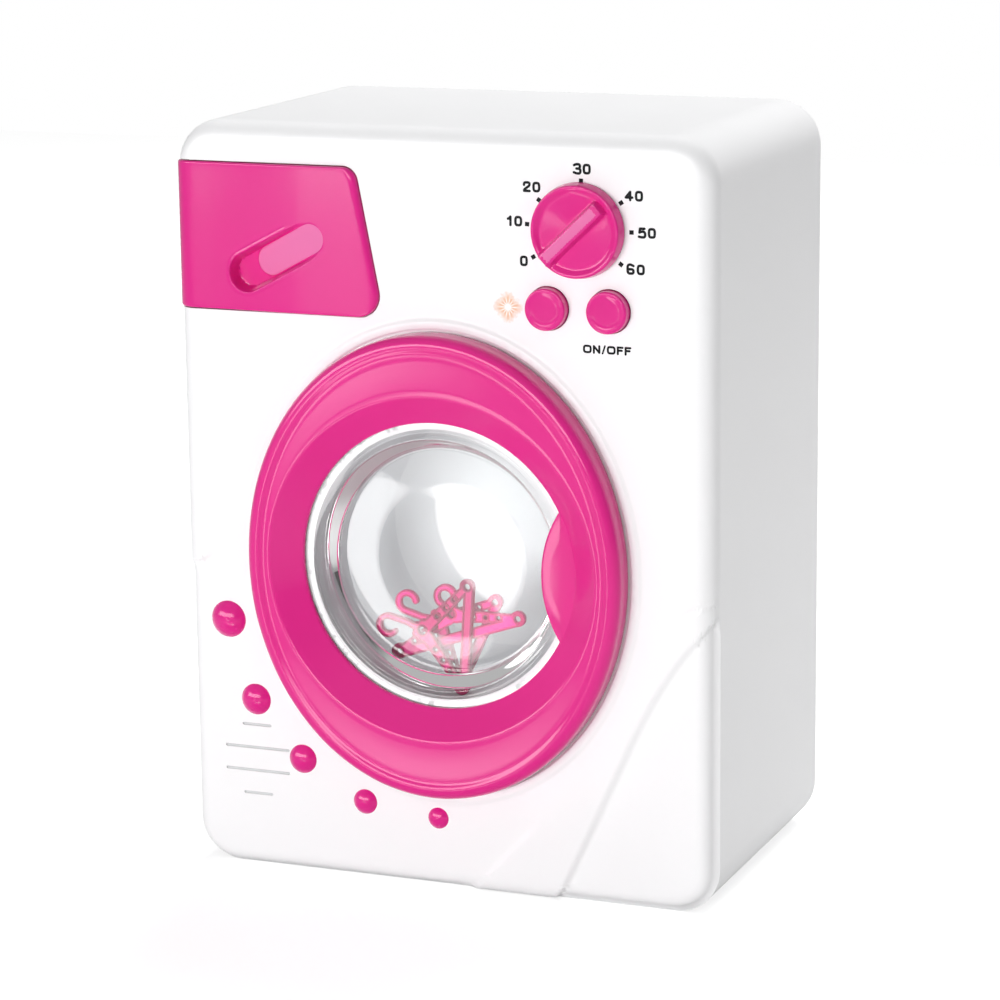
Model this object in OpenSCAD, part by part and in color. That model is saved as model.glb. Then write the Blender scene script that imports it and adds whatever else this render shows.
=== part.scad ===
// Toy washing machine: a battery driven play appliance with a turning drum.
// Origin at the centre of the bottom, +Z up, front towards -Y. Millimetres.

/* [Case] */
// Width of the case
body_w = 184; // [180:1:190]
// Height of the case
body_h = 250; // [246:1:256]
// Depth of the case
body_d = 118; // [116:1:124]
// Corner radius seen from the front
corner_r = 15; // [13:0.5:17]
// Depth of the front shell, up to the parting line
front_depth = 7; // [6.8:0.1:7.6]
// Rounding of the front edge
front_fillet = 6.5; // [6:0.1:6.7]
// Rounding of the back edge
back_fillet = 8; // [6:0.5:9]
// Wall of both shells
wall = 2.4; // [2.2:0.1:2.6]
// How far the lower panels lie behind the upper one
relief = 1; // [0.6:0.1:1.1]
// Length of the tongue that lines up the shells
tongue_len = 3; // [2:0.5:4]
// Thickness of that tongue
tongue_t = 1.2; // [1:0.1:1.5]

/* [Door] */
// Centre of the door across the front
door_x = -0.5; // [-1:0.5:1]
// Room below the door, down to the bottom of the case
door_under = 33.5; // [32.5:0.5:35]
// Room between the door and the drawer front
door_over = 3.5; // [3:0.5:5]
// Half the width of the oval door
door_a = 64.5; // [63.5:0.25:65.5]
// How far the door stands out of the case
door_out = 10; // [9.8:0.1:10.6]
// Gap between the closed door and the case
door_gap = 0.4; // [0.3:0.05:0.5]
// Radius of the bead along the rim
bead_r = 3.5; // [3.2:0.1:3.6]
// Drop from the bead's crest to the flat band
band_drop = 0.8; // [0.5:0.1:1.1]
// Radius at which the funnel starts
dish_r = 56; // [54.5:0.25:56.5]
// Radius of the round window
window_r = 46.9; // [46:0.1:47.2]
// Depth of the funnel
funnel_depth = 6.4; // [5.8:0.1:6.6]
// Wall of the door frame
door_wall = 2.2; // [1.9:0.1:2.4]
// Thickness of the funnel's lip round the window
lip_t = 1.2; // [1:0.1:1.3]
// Height of the raised lip on the case round the door
bezel_h = 0.8; // [0.5:0.1:0.9]
// Width of that lip
bezel_w = 3; // [2:0.25:4]
// Gap between that lip and the door's rim
bezel_gap = 0.8; // [0.6:0.1:1]
// Bend radius of the pull tab's free edge
tab_r = 39.3; // [36:0.5:42]
// How far the pull tab reaches over the window
tab_reach = 11; // [9:0.5:12]

/* [Hinge and catch] */
// Hinge axis, measured inwards from the rim
hinge_in = 3; // [2.8:0.1:3.2]
// Hinge axis, measured forwards from the case
hinge_out = 4.5; // [4.3:0.1:4.7]
// Radius of the hinge pin
hinge_pin_r = 1; // [0.8:0.1:1.1]
// Radius of the hinge ears
ear_r = 2.5; // [2.4:0.1:2.7]
// Height of a hinge ear
ear_h = 4; // [3.5:0.5:5]
// Half the distance between the ears
ear_half = 14; // [12:1:15]
// Height of a knuckle on the door
knuckle_h = 6; // [5:0.5:8]
// Latch tongue: distance from the door's centre
latch_x = 58; // [57.5:0.5:58.5]
// Latch tongue: thickness
latch_t = 2; // [1.6:0.1:2.2]
// Latch tongue: height
latch_h = 11; // [8:0.5:12]
// Room round the tongue in its slot
latch_gap = 0.8; // [0.7:0.1:0.9]
// Thickness of the catch block behind the slot
catch_t = 4; // [3:0.5:5]

/* [Window] */
// Outer radius of the window's flange
flange_r = 50; // [49.5:0.1:50.2]
// Thickness of the flange
flange_t = 1.4; // [1.2:0.1:1.5]
// Radius of the bowl at the flange
bowl_r = 41; // [39:0.5:42]
// Radius at the bowl's bottom edge
bowl_end_r = 36; // [34:0.5:37]
// Depth of the bowl
bowl_depth = 9; // [7:0.5:9.5]
// Wall of the bowl
bowl_t = 1.3; // [1.1:0.1:1.5]
// Thickness of the ring that clamps the flange
retainer_t = 1.4; // [1.2:0.1:1.5]
// Inner radius of that ring
retainer_r = 44.5; // [44:0.5:46]
// Wall of the ring's outer edge
retainer_wall = 0.9; // [0.8:0.1:1]
// Distance of the ring's screws from the centre
retainer_screw_r = 53.6; // [53.4:0.1:53.8]

/* [Drum and tub] */
// Radius of the door opening in the case
opening_r = 52.5; // [52.3:0.1:52.8]
// Inner radius of the drum
drum_r = 46; // [45.5:0.1:46.2]
// Wall of the drum
drum_wall = 1.6; // [1.4:0.1:1.8]
// Room behind the drum for its drive, up to the back of the case
drum_room = 57; // [56.5:0.5:59]
// Distance from the front of the case to the drum's mouth
drum_in = 5; // [4.5:0.1:5.5]
// Number of lifter ribs
lifters = 3; // [3:1:4]
// Height of a lifter rib
lifter_h = 6; // [4:0.5:7]
// Width of a lifter rib
lifter_w = 7; // [5:0.5:8]
// Running gap round the drum
drum_gap = 1.7; // [1.5:0.1:1.8]
// Wall of the tub
tub_wall = 1.5; // [1.3:0.1:1.6]
// Distance of the tub's screws from its axis, along X and Z
tub_ear = 41; // [40.5:0.25:42]
// Height of the posts that the tub's ears stand on
tub_post = 6; // [5:0.5:8]
// Thickness of the tub's ears
tub_ear_t = 2; // [1.6:0.1:2.4]
// Gap between drum and tub floor
drum_end_gap = 4; // [3.6:0.1:4.4]
// Radius of the drum's axle
axle_r = 2; // [1.8:0.1:2.2]
// Radius of the hub that holds the axle
hub_r = 6; // [5:0.5:7]
// Outer radius of the bearing bush
bush_r = 4; // [3.6:0.1:4.4]
// Height of the boss round the bush
bush_boss = 4; // [3.5:0.5:5]

/* [Gears] */
// Tooth size: pitch diameter per tooth
gear_module = 0.6; // [0.55:0.01:0.62]
// Teeth on the drum's gear
drum_teeth = 48; // [48:4:52]
// Teeth on the idler's small gear
idler_small = 12; // [12:1:13]
// Teeth on the idler's large gear
idler_large = 40; // [38:2:42]
// Teeth on the motor's pinion
pinion_teeth = 10; // [10:1:11]
// Face width of the gears
gear_t = 4; // [3:0.5:4.5]
// Play between two gears in mesh
gear_play = 0.15; // [0.1:0.01:0.2]
// Radius of the idler's pin and of the motor's shaft
idler_pin_r = 1; // [0.9:0.1:1.2]
// Room between the tub and the gear plate
gear_room = 16; // [15.5:0.5:17]
// Thickness of the gear plate
plate_t = 2; // [1.8:0.1:2.4]

/* [Motor] */
// Radius of the motor
motor_r = 10; // [9:0.5:10.5]
// Thickness across the motor's flats
motor_flat = 15.2; // [14:0.1:16]
// Length of the motor's can
motor_len = 25; // [23:0.5:26]
// Wall of the motor clamp
clamp_wall = 2; // [1.6:0.1:2.2]
// Length of the motor clamp
clamp_len = 14; // [10:1:18]

/* [Drawer] */
// Room above the drawer front, up to the top of the case
drawer_over = 13.2; // [13:0.2:15]
// Height of the drawer front
drawer_h = 47.8; // [46:0.2:48]
// Width of the drawer front along its lower edge, from the side of the case
drawer_low_w = 73.4; // [72:0.2:74]
// Width of the drawer front along its upper edge, from the side of the case
drawer_high_w = 64.1; // [63:0.1:65]
// How far the drawer front stands proud
drawer_proud = 0.6; // [0.4:0.05:0.8]
// Gap round the drawer front
drawer_gap = 0.35; // [0.3:0.05:0.4]
// Left wall of the drawer tray, from the side of the case
tray_in = 8; // [8:0.5:10]
// Width of the drawer tray
tray_w = 50; // [48:0.5:51]
// Height of the tray above the drawer front's lower edge
tray_low = 4.5; // [4:0.25:5]
// Height of the tray's walls
tray_h = 38; // [36:0.5:38.5]
// Length of the tray
tray_len = 50; // [44:1:54]
// Wall of tray and housing
tray_wall = 1.5; // [1.2:0.1:1.7]
// Running gap between tray and housing
tray_gap = 0.4; // [0.3:0.05:0.45]
// Finger grip: centre of its deep end, from the side of the case
grip_in = 26; // [25:0.5:27]
// Finger grip: height of its deep end above the drawer front's lower edge
grip_up = 12.5; // [11:0.5:14]
// Finger grip: length between its end centres
grip_len = 22.6; // [20:0.2:23]
// Finger grip: slope
grip_turn = 27.7; // [24:0.5:30]
// Finger grip: radius of its ends
grip_r = 6.4; // [6:0.1:6.5]
// Finger grip: depth
grip_depth = 8; // [6:0.5:9]
// Ramp in the grip: radius of its ends
ramp_r = 5; // [4:0.1:5.5]
// Ramp in the grip: centre of its lower end along the grip
ramp_start = 8.4; // [8:0.1:9]
// Ramp in the grip: centre of its upper end along the grip
ramp_end = 25.6; // [25.2:0.1:26.5]

/* [Knob] */
// Knob centre, from the side of the case
knob_in = 44; // [42:0.5:46]
// Knob centre, down from the top of the case
knob_down = 30; // [28:0.5:31]
// Radius of the knob
knob_r = 15.7; // [14.5:0.1:16]
// How far the knob stands out
knob_out = 6.6; // [6:0.1:8]
// Rounding of the knob's rim
knob_round = 2.4; // [1.5:0.1:3]
// Width of the knob's grip bar
bar_w = 4.4; // [4:0.1:5.5]
// Height of the grip bar above the knob's face
bar_h = 1.8; // [1.2:0.1:2.5]
// Angle at which the knob rests
knob_turn = 43.5; // [30:0.5:60]
// Radius of the knob's shaft
knob_shaft_r = 3; // [2.6:0.1:3.2]
// Length of the boss that guides the shaft
knob_boss = 4; // [3:0.5:5]
// Radius of the click wheel
click_r = 8; // [7:0.25:8.5]
// Number of clicks in a turn
clicks = 12; // [10:1:16]
// Thickness of the click wheel
click_t = 3; // [2.5:0.25:3.5]

/* [Buttons] */
// Light button: centre, from the side of the case
light_in = 54.6; // [53:0.1:56]
// Power button: centre, from the side of the case
power_in = 34.2; // [33:0.1:36]
// Buttons: centres, down from the centre of the knob
button_down = 25; // [24:0.5:26]
// Radius of a button
button_r = 6.8; // [6:0.1:7]
// How far a button stands out
button_out = 3.4; // [2.6:0.1:4]
// How deep the dish in a button is
button_dish = 0.5; // [0.3:0.1:0.8]
// How far a button can be pressed
button_travel = 1.5; // [1:0.1:1.5]
// Gap round a button
button_gap = 0.3; // [0.25:0.05:0.4]
// Radius of the spring that returns a button
spring_r = 5.5; // [5.3:0.1:5.8]

/* [Circuit board] */
// Width of the board
board_w = 46; // [44:1:50]
// Height of the board
board_h = 27; // [25:0.5:28]
// Thickness of the board
board_t = 1.6; // [1.2:0.1:2]
// Distance from the case's front wall to the board
board_in = 14.6; // [14.2:0.1:16]
// Size of a switch
switch_w = 6; // [5:0.5:6.5]
// Height of a switch without its plunger
switch_h = 3.5; // [3:0.1:4]

/* [Domes and grille] */
// Height of a dome as a share of its radius
dome_rise = 0.5; // [0.35:0.05:0.7]
// Radius of a dome's peg
peg_r = 1.5; // [1.2:0.1:1.6]
// Speaker centre, from the side of the case
speaker_in = 24.3; // [24:0.1:25]
// Speaker centre height
speaker_z = 37.7; // [37:0.1:38.5]
// Pitch of the speaker slots
slot_pitch = 7.9; // [7:0.1:8]
// Width of a slot
slot_h = 1; // [0.8:0.1:1.4]
// Length of the inner slots
slot_long = 22.4; // [20:0.2:24]
// Length of the outer slots
slot_short = 9.6; // [8:0.2:11]
// Radius of the speaker
speaker_r = 14.5; // [13:0.5:14.5]
// Depth of the speaker's basket
speaker_t = 6; // [5:0.5:8]
// Distance of the speaker's screws from its centre
speaker_screw = 19; // [18.5:0.25:19.5]

/* [Batteries] */
// Radius of a cell
cell_r = 7.1; // [7:0.05:7.2]
// Length of a cell
cell_len = 50; // [49.5:0.25:50.5]
// Number of cells
cells = 3; // [2:1:3]
// Distance between cell centres
cell_pitch = 15; // [14.8:0.1:15.5]
// Height of the battery box above the bottom
box_z = 11.4; // [9:0.2:13]
// Wall of the battery box
box_wall = 1.6; // [1.4:0.1:2]
// Width of the seat round the battery cover
seat_w = 4; // [3:0.25:5]
// Gap round the battery cover
cover_gap = 0.3; // [0.2:0.05:0.4]

/* [Hangers] */
// Distance between a hanger's end eyes
hanger_w = 34; // [30:0.5:35]
// Thickness of a hanger
hanger_t = 1.8; // [1.4:0.1:1.9]
// Gap between two hangers
hanger_gap = 0.4; // [0.35:0.05:0.5]

/* [Screws and fits] */
// Shank radius of the case screws
screw_r = 1.5; // [1.3:0.1:1.6]
// Shank radius of the small screws
small_r = 1; // [0.8:0.1:1.1]
// Wall round a screw in a post
post_wall = 1.5; // [1.3:0.1:1.6]
// Radial clearance of screws in their posts
thread_gap = 0.04; // [0.02:0.01:0.06]
// Radial clearance of turning and sliding fits
run_gap = 0.06; // [0.03:0.01:0.09]
// Gap between parts that stop on each other
seat_gap = 0.3; // [0.25:0.05:0.35]

/* [Hidden] */
$fn = 64;
front_y = -body_d / 2;
back_y = body_d / 2;
inner_front = front_y + wall;
inner_back = back_y - wall;
part_y = front_y + front_depth;
pink = "#E8408F";
light_pink = "#F06AA8";
white = "#F4F4F5";

// Places across the front, from its two sides
side = body_w / 2;
drawer_low_x = drawer_low_w - side;
drawer_high_x = drawer_high_w - side;
tray_x0 = tray_in - side;
tray_x1 = tray_x0 + tray_w;
grip_x = grip_in - side;
speaker_x = speaker_in - side;
knob_x = side - knob_in;
button_x = [side - light_in, side - power_in];

// Heights, from the top down to the drawer, and the door between drawer and bottom
drawer_z1 = body_h - drawer_over;
drawer_z0 = drawer_z1 - drawer_h;
grip_z = drawer_z0 + grip_up;
knob_z = body_h - knob_down;
button_z = knob_z - button_down;
door_top = drawer_z0 - door_over;
door_b = (door_top - door_under) / 2;
door_z = door_top - door_b;

// Case screws: across, up; each held in a long well of the rear shell
well_in = 12;
wells = [[side - well_in, 14], [well_in - side, 14], [side - well_in, body_h - well_in],
         [-10, body_h - well_in], [10 - side, drawer_z0 - 17]];
well_wall = 1.4;
well_r = 3.1;
well_y = part_y + 30;
well_floor = 2;
screw_head_r = 2.7;
screw_head_h = 2;
screw_grip = 10;

// Door levels, from the crest of the bead to the back edge
door_crest = front_y - door_out;
band_y = door_crest + band_drop;
lip_y = band_y + funnel_depth;
flange_y = lip_y + lip_t;
door_back = front_y - door_gap;
hinge_x = door_x - door_a + hinge_in;
hinge_y = front_y - hinge_out;
ear_gap = 0.5;
latch_tip = inner_front + catch_t - 0.9;

// Window and retainer levels
flange_back = flange_y + flange_t;
retainer_back = flange_back + retainer_t;
retainer_tab_t = door_back - flange_y - 0.1;
retainer_head_r = 1.8;
retainer_head_h = 0.6;

// Drum levels along the axis
drum_y0 = front_y + drum_in;
drum_y1 = back_y - drum_room;
drum_outer = drum_r + drum_wall;
tub_r = drum_outer + drum_gap;
tub_y0 = inner_front;
tub_floor = drum_y1 + drum_end_gap;
tub_y1 = tub_floor + 2;
collar_r = opening_r + 1.6;
boss_y1 = tub_y1 + bush_boss;
hub_y1 = tub_floor - 1;
gear_y0 = boss_y1 + seat_gap;
idler_step = gear_y0 + gear_t + 0.4;
wheel_t = gear_t - 1;
idler_y1 = idler_step + 0.2 + wheel_t;
plate_y0 = tub_y1 + gear_room;
plate_y1 = plate_y0 + plate_t;

// Gear centres, one above the other
pressure = 20;
idler_up = gear_module * (drum_teeth + idler_small) / 2 + gear_play / 2;
motor_up = idler_up + gear_module * (idler_large + pinion_teeth) / 2 + gear_play / 2;
posts = [[-26, 38], [26, 38], [-28, -12], [28, -12]];
post_r = small_r + post_wall;
plate_half = 32;
plate_low = -17;
plate_high = 44;
clamp_out = motor_r + clamp_wall + 0.15;
clamp_screw_x = clamp_out + 3.2;

// Drawer places
grip_back = front_y - drawer_proud + grip_depth;
cup_wall = 1.6;
cup_r = grip_r + cup_wall;
cup_y1 = grip_back + cup_wall;
tray_y1 = inner_front + tray_len;
tray_z0 = drawer_z0 + tray_low;
tray_z1 = tray_z0 + tray_h;
housing_x0 = tray_x0 - tray_gap - tray_wall;
housing_x1 = tray_x1 + tray_gap + tray_wall;
housing_z0 = tray_z0 - tray_gap - tray_wall;
housing_z1 = tray_z1 + tray_gap + tray_wall;
housing_y1 = tray_y1 + tray_gap + tray_wall;
housing_post = 4.6;
housing_posts = [[tray_x0 + 24, body_h - 8.2], [tray_x0 + 24, drawer_z0 - 5], [tray_x1 + 22, drawer_z0 + 23]];

// Knob levels
knob_back = front_y - seat_gap;
knob_front = front_y - knob_out;
click_y0 = inner_front + knob_boss + seat_gap;
click_y1 = click_y0 + click_t;

// Button and board levels
board_y0 = inner_front + board_in;
board_y1 = board_y0 + board_t;
switch_y = board_y0 - switch_h;
plunger_y = switch_y - 1.1;
button_flange_t = 1.2;
button_flange_y = inner_front + seat_gap;
stem_end = plunger_y - seat_gap - button_travel;
board_x = (button_x[0] + button_x[1]) / 2;
board_z = button_z;
board_posts = [[-1, -1], [1, -1], [-1, 1], [1, 1]];
board_post_x = board_w / 2 - 3.6;
board_post_z = board_h / 2 - 2.7;

// Battery box
cell_room = 0.4;
contact_t = 1.2;
box_half = cell_len / 2 + contact_t + 2 * cell_room + box_wall;
box_h = cells * cell_pitch + 2 * box_wall;
box_y0 = inner_back - 2 * cell_r - 2 * cell_room - box_wall;
box_rim = 1.6;
cover_half = box_half + seat_w;
cover_z0 = box_z - seat_w + 1;
cover_z1 = box_z + box_h + seat_w + 3;
cover_screw_z = box_z + box_h + 3.4;

// Domes on the lower panel, whose surface lies behind the front by the relief: across, up, radius
panel_y = front_y + relief;
domes = [[door_x - door_a - 12, door_under + 51.5, 6.2], [speaker_x, door_under + 24.8, 5.3],
         [speaker_x + 16.6, door_under + 5.9, 4.9], [speaker_x + 38.9, door_under - 6.5, 4.2],
         [door_x - 2.3, door_under - 9.4, 3.6]];

// Hangers: across and up from the drum's axis, and turn
hangers = [[4.4, -25.9, 84], [0.9, -29, 23], [-1.2, -27, 42]];

// Extrudes a front-view outline from y0 back to y1
module slab(y0, y1) {
    translate([0, y1, 0]) rotate([90, 0, 0]) linear_extrude(y1 - y0) children();
}

// Round bar along Y
module rod(r, y0, y1) {
    translate([0, y1, 0]) rotate([90, 0, 0]) cylinder(r = r, h = y1 - y0);
}

// Turns a profile of radius and depth about the Y axis
module spun() {
    rotate([-90, 0, 0]) rotate_extrude() children();
}

// Box between two limits on each axis
module block(x, y, z) {
    translate([x[0], y[0], z[0]]) cube([x[1] - x[0], y[1] - y[0], z[1] - z[0]]);
}

// Moves to a place on the front
module at(p) {
    translate([p[0], 0, p[1]]) children();
}

module at_door() {
    at([door_x, door_z]) children();
}

// Round-ended bar between two points of an outline
module bar(a, b, r) {
    turn = atan2(b[1] - a[1], b[0] - a[0]);
    translate(a) rotate(turn) translate([0, -r]) square([norm(b - a), 2 * r]);
    translate(a) circle(r);
    translate(b) circle(r);
}

// Screw along Y with its point at y0 and its head behind y1
module screw(r, y0, y1, head_r, head_h) {
    difference() {
        union() {
            rod(r, y0, y1);
            rod(head_r, y1, y1 + head_h);
        }
        slot_w = head_r / 3;
        for (turn = [0, 90]) rotate([0, turn, 0])
            block([-head_r * 0.6, head_r * 0.6], [y1 + head_h / 2, y1 + 2 * head_h], [-slot_w / 2, slot_w / 2]);
    }
}

// Screw post along Y with a blind hole from its back end
module post(r, y0, y1, hole_r, hole_depth) {
    difference() {
        rod(r, y0, y1);
        rod(hole_r, y1 - hole_depth, y1 + 1);
    }
}

// Section of a rounded case: its front corners are rounded by f
module case_section(h, d, f) {
    difference() {
        translate([-h / 2, 0]) square([h, d]);
        for (s = [-1, 1]) translate([s * (h / 2 - f), f]) difference() {
            translate([s > 0 ? 0 : -f - 1, -f - 1]) square(f + 1);
            circle(f);
        }
    }
}

// Rounded case from y = 0 back to d, corners of radius r seen from the front
module rounded_case(w, h, r, d, f) {
    linear_extrude(h - 2 * r, center = true) case_section(w, d, f);
    rotate([0, 90, 0]) linear_extrude(w - 2 * r, center = true) case_section(h, d, f);
    for (sx = [-1, 1], sz = [-1, 1]) translate([sx * (w / 2 - r), 0, sz * (h / 2 - r)]) spun() difference() {
        square([r, d]);
        translate([r - f, f]) difference() {
            translate([0, -f - 1]) square(f + 1);
            circle(f);
        }
    }
}

// Front part of the case, drawn in by inset on every side and longer by over
module front_case(inset, over = 0) {
    translate([0, front_y + inset, body_h / 2])
        rounded_case(body_w - 2 * inset, body_h - 2 * inset, corner_r - inset, front_depth - inset + over,
            front_fillet - inset);
}

// Back part of the case, drawn in by inset on every side and longer by over
module back_case(inset, over = 0) {
    translate([0, back_y - inset, body_h / 2]) mirror([0, 1, 0])
        rounded_case(body_w - 2 * inset, body_h - 2 * inset, corner_r - inset,
            body_d - front_depth - inset + over, back_fillet - inset);
}

// Points of a cubic curve from a to d with handles b and c
function curve(a, b, c, d, n = 8) = [for (i = [0:n]) let (t = i / n)
    pow(1 - t, 3) * a + 3 * t * pow(1 - t, 2) * b + 3 * t * t * (1 - t) * c + pow(t, 3) * d];

// Lower right panel, bounded by the long S-shaped step
right_edge = side + 5;
function from_right(x, z) = [right_edge - x, z];
module right_panel() {
    polygon(concat(
        curve(from_right(0, 98), from_right(15, 92), from_right(25, 68), from_right(32, 53)),
        curve(from_right(32, 53), from_right(38, 38), from_right(49, 16), from_right(59, -5)),
        [from_right(0, -5)]));
}

// Lower left panel, bounded by the swoosh that runs behind the door
module left_panel() {
    polygon(concat(
        [[-right_edge, -5]],
        curve([-right_edge, 101.8], [17 - right_edge, 102], [23 - right_edge, 108], [25 - right_edge, 118]),
        curve([37 - right_edge, 118], [-45, 60], [-10, 50], from_right(63, 26.5)),
        curve(from_right(63, 26.5), from_right(73, 17), from_right(82, 8), from_right(91, -5))));
}

// Front skin that the two lower panels lack
module panel_cut() {
    difference() {
        slab(front_y - 1, part_y + 1) {
            right_panel();
            left_panel();
        }
        translate([0, 0.01, 0]) front_case(relief);
    }
}

// Point of the door's oval at angle t, grown by g
function oval_point(g, t) = [(door_a + g) * cos(t), (door_b + g) * sin(t)];

// Outline of the oval door, grown by g
oval_steps = 90;
oval_turn = 360 / oval_steps;
module oval(g) {
    polygon([for (i = [0:oval_steps - 1]) oval_point(g, i * oval_turn)]);
}

// Solid through a stack of ovals from back to front; each level is a growth and a depth
module oval_stack(levels) {
    n = oval_steps;
    k = len(levels);
    ring = [for (v = levels, i = [0:n - 1]) let (p = oval_point(v[0], i * oval_turn)) [p[0], v[1], p[1]]];
    ends = [[0, levels[0][1], 0], [0, levels[k - 1][1], 0]];
    sides = [for (j = [0:k - 2], i = [0:n - 1]) let (a = j * n + i, b = j * n + (i + 1) % n)
        each [[a, a + n, b + n], [a, b + n, b]]];
    back = [for (i = [0:n - 1]) [k * n, i, (i + 1) % n]];
    front = [for (i = [0:n - 1]) [k * n + 1, (k - 1) * n + (i + 1) % n, (k - 1) * n + i]];
    polyhedron(concat(ring, ends), concat(sides, back, front));
}

// Outline of the drawer front, grown by g
corner_up = 5;
corner_low = 7;
module drawer_outline(g) {
    left = -side - 4;
    low = drawer_z0 - g;
    high = drawer_z1 + g;
    lean = atan2(drawer_z1 - drawer_z0, drawer_low_x - drawer_high_x);
    grow = g / sin(lean);
    a = [drawer_low_x + grow, low];
    b = [drawer_high_x + grow, high];
    difference() {
        polygon([[left, low], a, b, [left, high]]);
        rounded_off(a, lean, corner_low + g);
        rounded_off(b, -180 + lean, corner_up + g);
    }
}

// Material outside a rounding of radius r at a corner; the slanted edge leans by lean
module rounded_off(p, lean, r) {
    up = lean > 0;
    inner = up ? lean : 180 + lean;
    half = up ? inner / 2 : (180 - inner) / 2;
    dir = up ? 180 - inner / 2 : -90 - inner / 2;
    reach = r / sin(half);
    c = p + reach * [cos(dir), sin(dir)];
    foot = r / tan(half);
    side = up ? [-cos(inner), sin(inner)] : [cos(inner), -sin(inner)];
    difference() {
        polygon([p + 0.5 * (p - c), p + [-foot, 0], c, p + foot * side]);
        translate(c) circle(r);
    }
}

// Long hole of the finger grip
module grip_outline(r) {
    translate([grip_x, grip_z]) rotate(grip_turn) bar([0, 0], [grip_len, 0], r);
}

// The front shell carries everything that faces forward
module front_shell() {
    color(white) {
        difference() {
            union() {
                difference() {
                    front_case(0);
                    front_case(wall, 1);
                    panel_cut();
                }
                shell_tongue();
                at_door() bezel_lip();
                hinge_ears();
                at([knob_x, knob_z]) rod(knob_shaft_r + 2.5, inner_front - 0.5, inner_front + knob_boss);
            }
            slab(front_y - 2, part_y + 5) drawer_outline(drawer_gap);
            at_door() rod(opening_r, front_y - 2, inner_front + 1);
            at([knob_x, knob_z]) rod(knob_shaft_r + run_gap, front_y - 1, inner_front + knob_boss + 1);
            for (x = button_x) at([x, button_z]) rod(button_r + button_gap, front_y - 1, inner_front + 1);
            for (d = domes) at(d) rod(peg_r + run_gap, front_y - 1, inner_front + 1);
            grille_slots();
            latch_slot(front_y - 1, inner_front + 1);
        }
        shell_posts();
    }
}

// Thin wall that enters the rear shell
module shell_tongue() {
    inset = wall + 0.15;
    back = part_y + tongue_len;
    difference() {
        slab(inner_front - 0.2, back) round_rect(body_w - 2 * inset, body_h - 2 * inset, corner_r - inset);
        slab(inner_front - 1, back + 1)
            round_rect(body_w - 2 * inset - 2 * tongue_t, body_h - 2 * inset - 2 * tongue_t,
                corner_r - inset - tongue_t);
        block([-body_w, -side + 10], [part_y - 9, back + 1], [drawer_z0 - 2, drawer_z1 + 2]);
    }
}

// Rounded rectangle as seen from the front, standing on the case's middle
module round_rect(w, h, r) {
    translate([0, body_h / 2]) difference() {
        square([w, h], center = true);
        for (sx = [-1, 1], sz = [-1, 1]) translate([sx * (w / 2 - r), sz * (h / 2 - r)]) difference() {
            translate([sx > 0 ? 0 : -r - 1, sz > 0 ? 0 : -r - 1]) square(r + 1);
            circle(r);
        }
    }
}

// Raised lip round the door
module bezel_lip() {
    slab(front_y - bezel_h, front_y + relief + 0.4) difference() {
        oval(bezel_gap + bezel_w);
        oval(bezel_gap);
    }
}

// Two ears on the case that hold the hinge pin
module hinge_ears() {
    for (s = [-1, 1]) translate([hinge_x, hinge_y, door_z + s * ear_half - ear_h / 2]) difference() {
        union() {
            cylinder(r = ear_r, h = ear_h);
            translate([-ear_r, 0, 0]) cube([2 * ear_r, hinge_out + 1.2, ear_h]);
        }
        translate([0, 0, -1]) cylinder(r = hinge_pin_r + 0.02, h = ear_h + 2);
    }
}

module latch_slot(y0, y1) {
    at_door() block([latch_x - latch_gap, latch_x + latch_t + latch_gap], [y0, y1],
        [-latch_h / 2 - latch_gap, latch_h / 2 + latch_gap]);
}

module grille_slots() {
    lengths = [slot_short, slot_long, slot_long, slot_short];
    slab(front_y - 1, inner_front + 1) for (i = [0:3])
        translate([speaker_x, speaker_z + (i - 1.5) * slot_pitch])
            bar([-lengths[i] / 2, 0], [lengths[i] / 2, 0], slot_h / 2);
}

// Posts behind the front wall for everything that is screwed to it
module shell_posts() {
    hole = small_r + thread_gap;
    for (p = wells) at(p)
        post(well_r + well_wall, inner_front - 0.3, well_y, screw_r + thread_gap, screw_grip + 2);
    for (sx = [-1, 1], sz = [-1, 1]) at([door_x + sx * tub_ear, door_z + sz * tub_ear])
        post(post_r, inner_front - 0.3, inner_front + tub_post, hole, tub_post);
    for (p = housing_posts) at(p) post(post_r, inner_front - 0.3, inner_front + housing_post, hole, 4);
    for (p = board_posts) at([board_x + p[0] * board_post_x, board_z + p[1] * board_post_z])
        post(post_r, inner_front - 0.3, board_y0, hole, 8);
    for (s = [-1, 1]) at(speaker_screw_at(s))
        post(post_r, inner_front - 0.3, inner_front + speaker_t, hole, 5);
}

function speaker_screw_at(s) =
    [speaker_x - s * speaker_screw * cos(45), speaker_z + s * speaker_screw * sin(45)];

// The rear shell is the box of the case with its screw wells
module rear_shell() {
    color(white) difference() {
        union() {
            difference() {
                back_case(0);
                back_case(wall, 1);
            }
            for (p = wells) at(p) rod(well_r + well_wall, well_y, inner_back + 0.5);
        }
        for (p = wells) at(p) {
            rod(well_r, well_y + well_floor, back_y + 1);
            rod(screw_r + thread_gap, well_y - 1, well_y + well_floor + 1);
        }
        slab(inner_back - 1, back_y + 1) cover_outline(cover_gap);
    }
}

// Outline of the battery cover, grown by g
module cover_outline(g) {
    translate([-cover_half - g, cover_z0 - g]) square([2 * (cover_half + g), cover_z1 - cover_z0 + 2 * g]);
}

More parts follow.
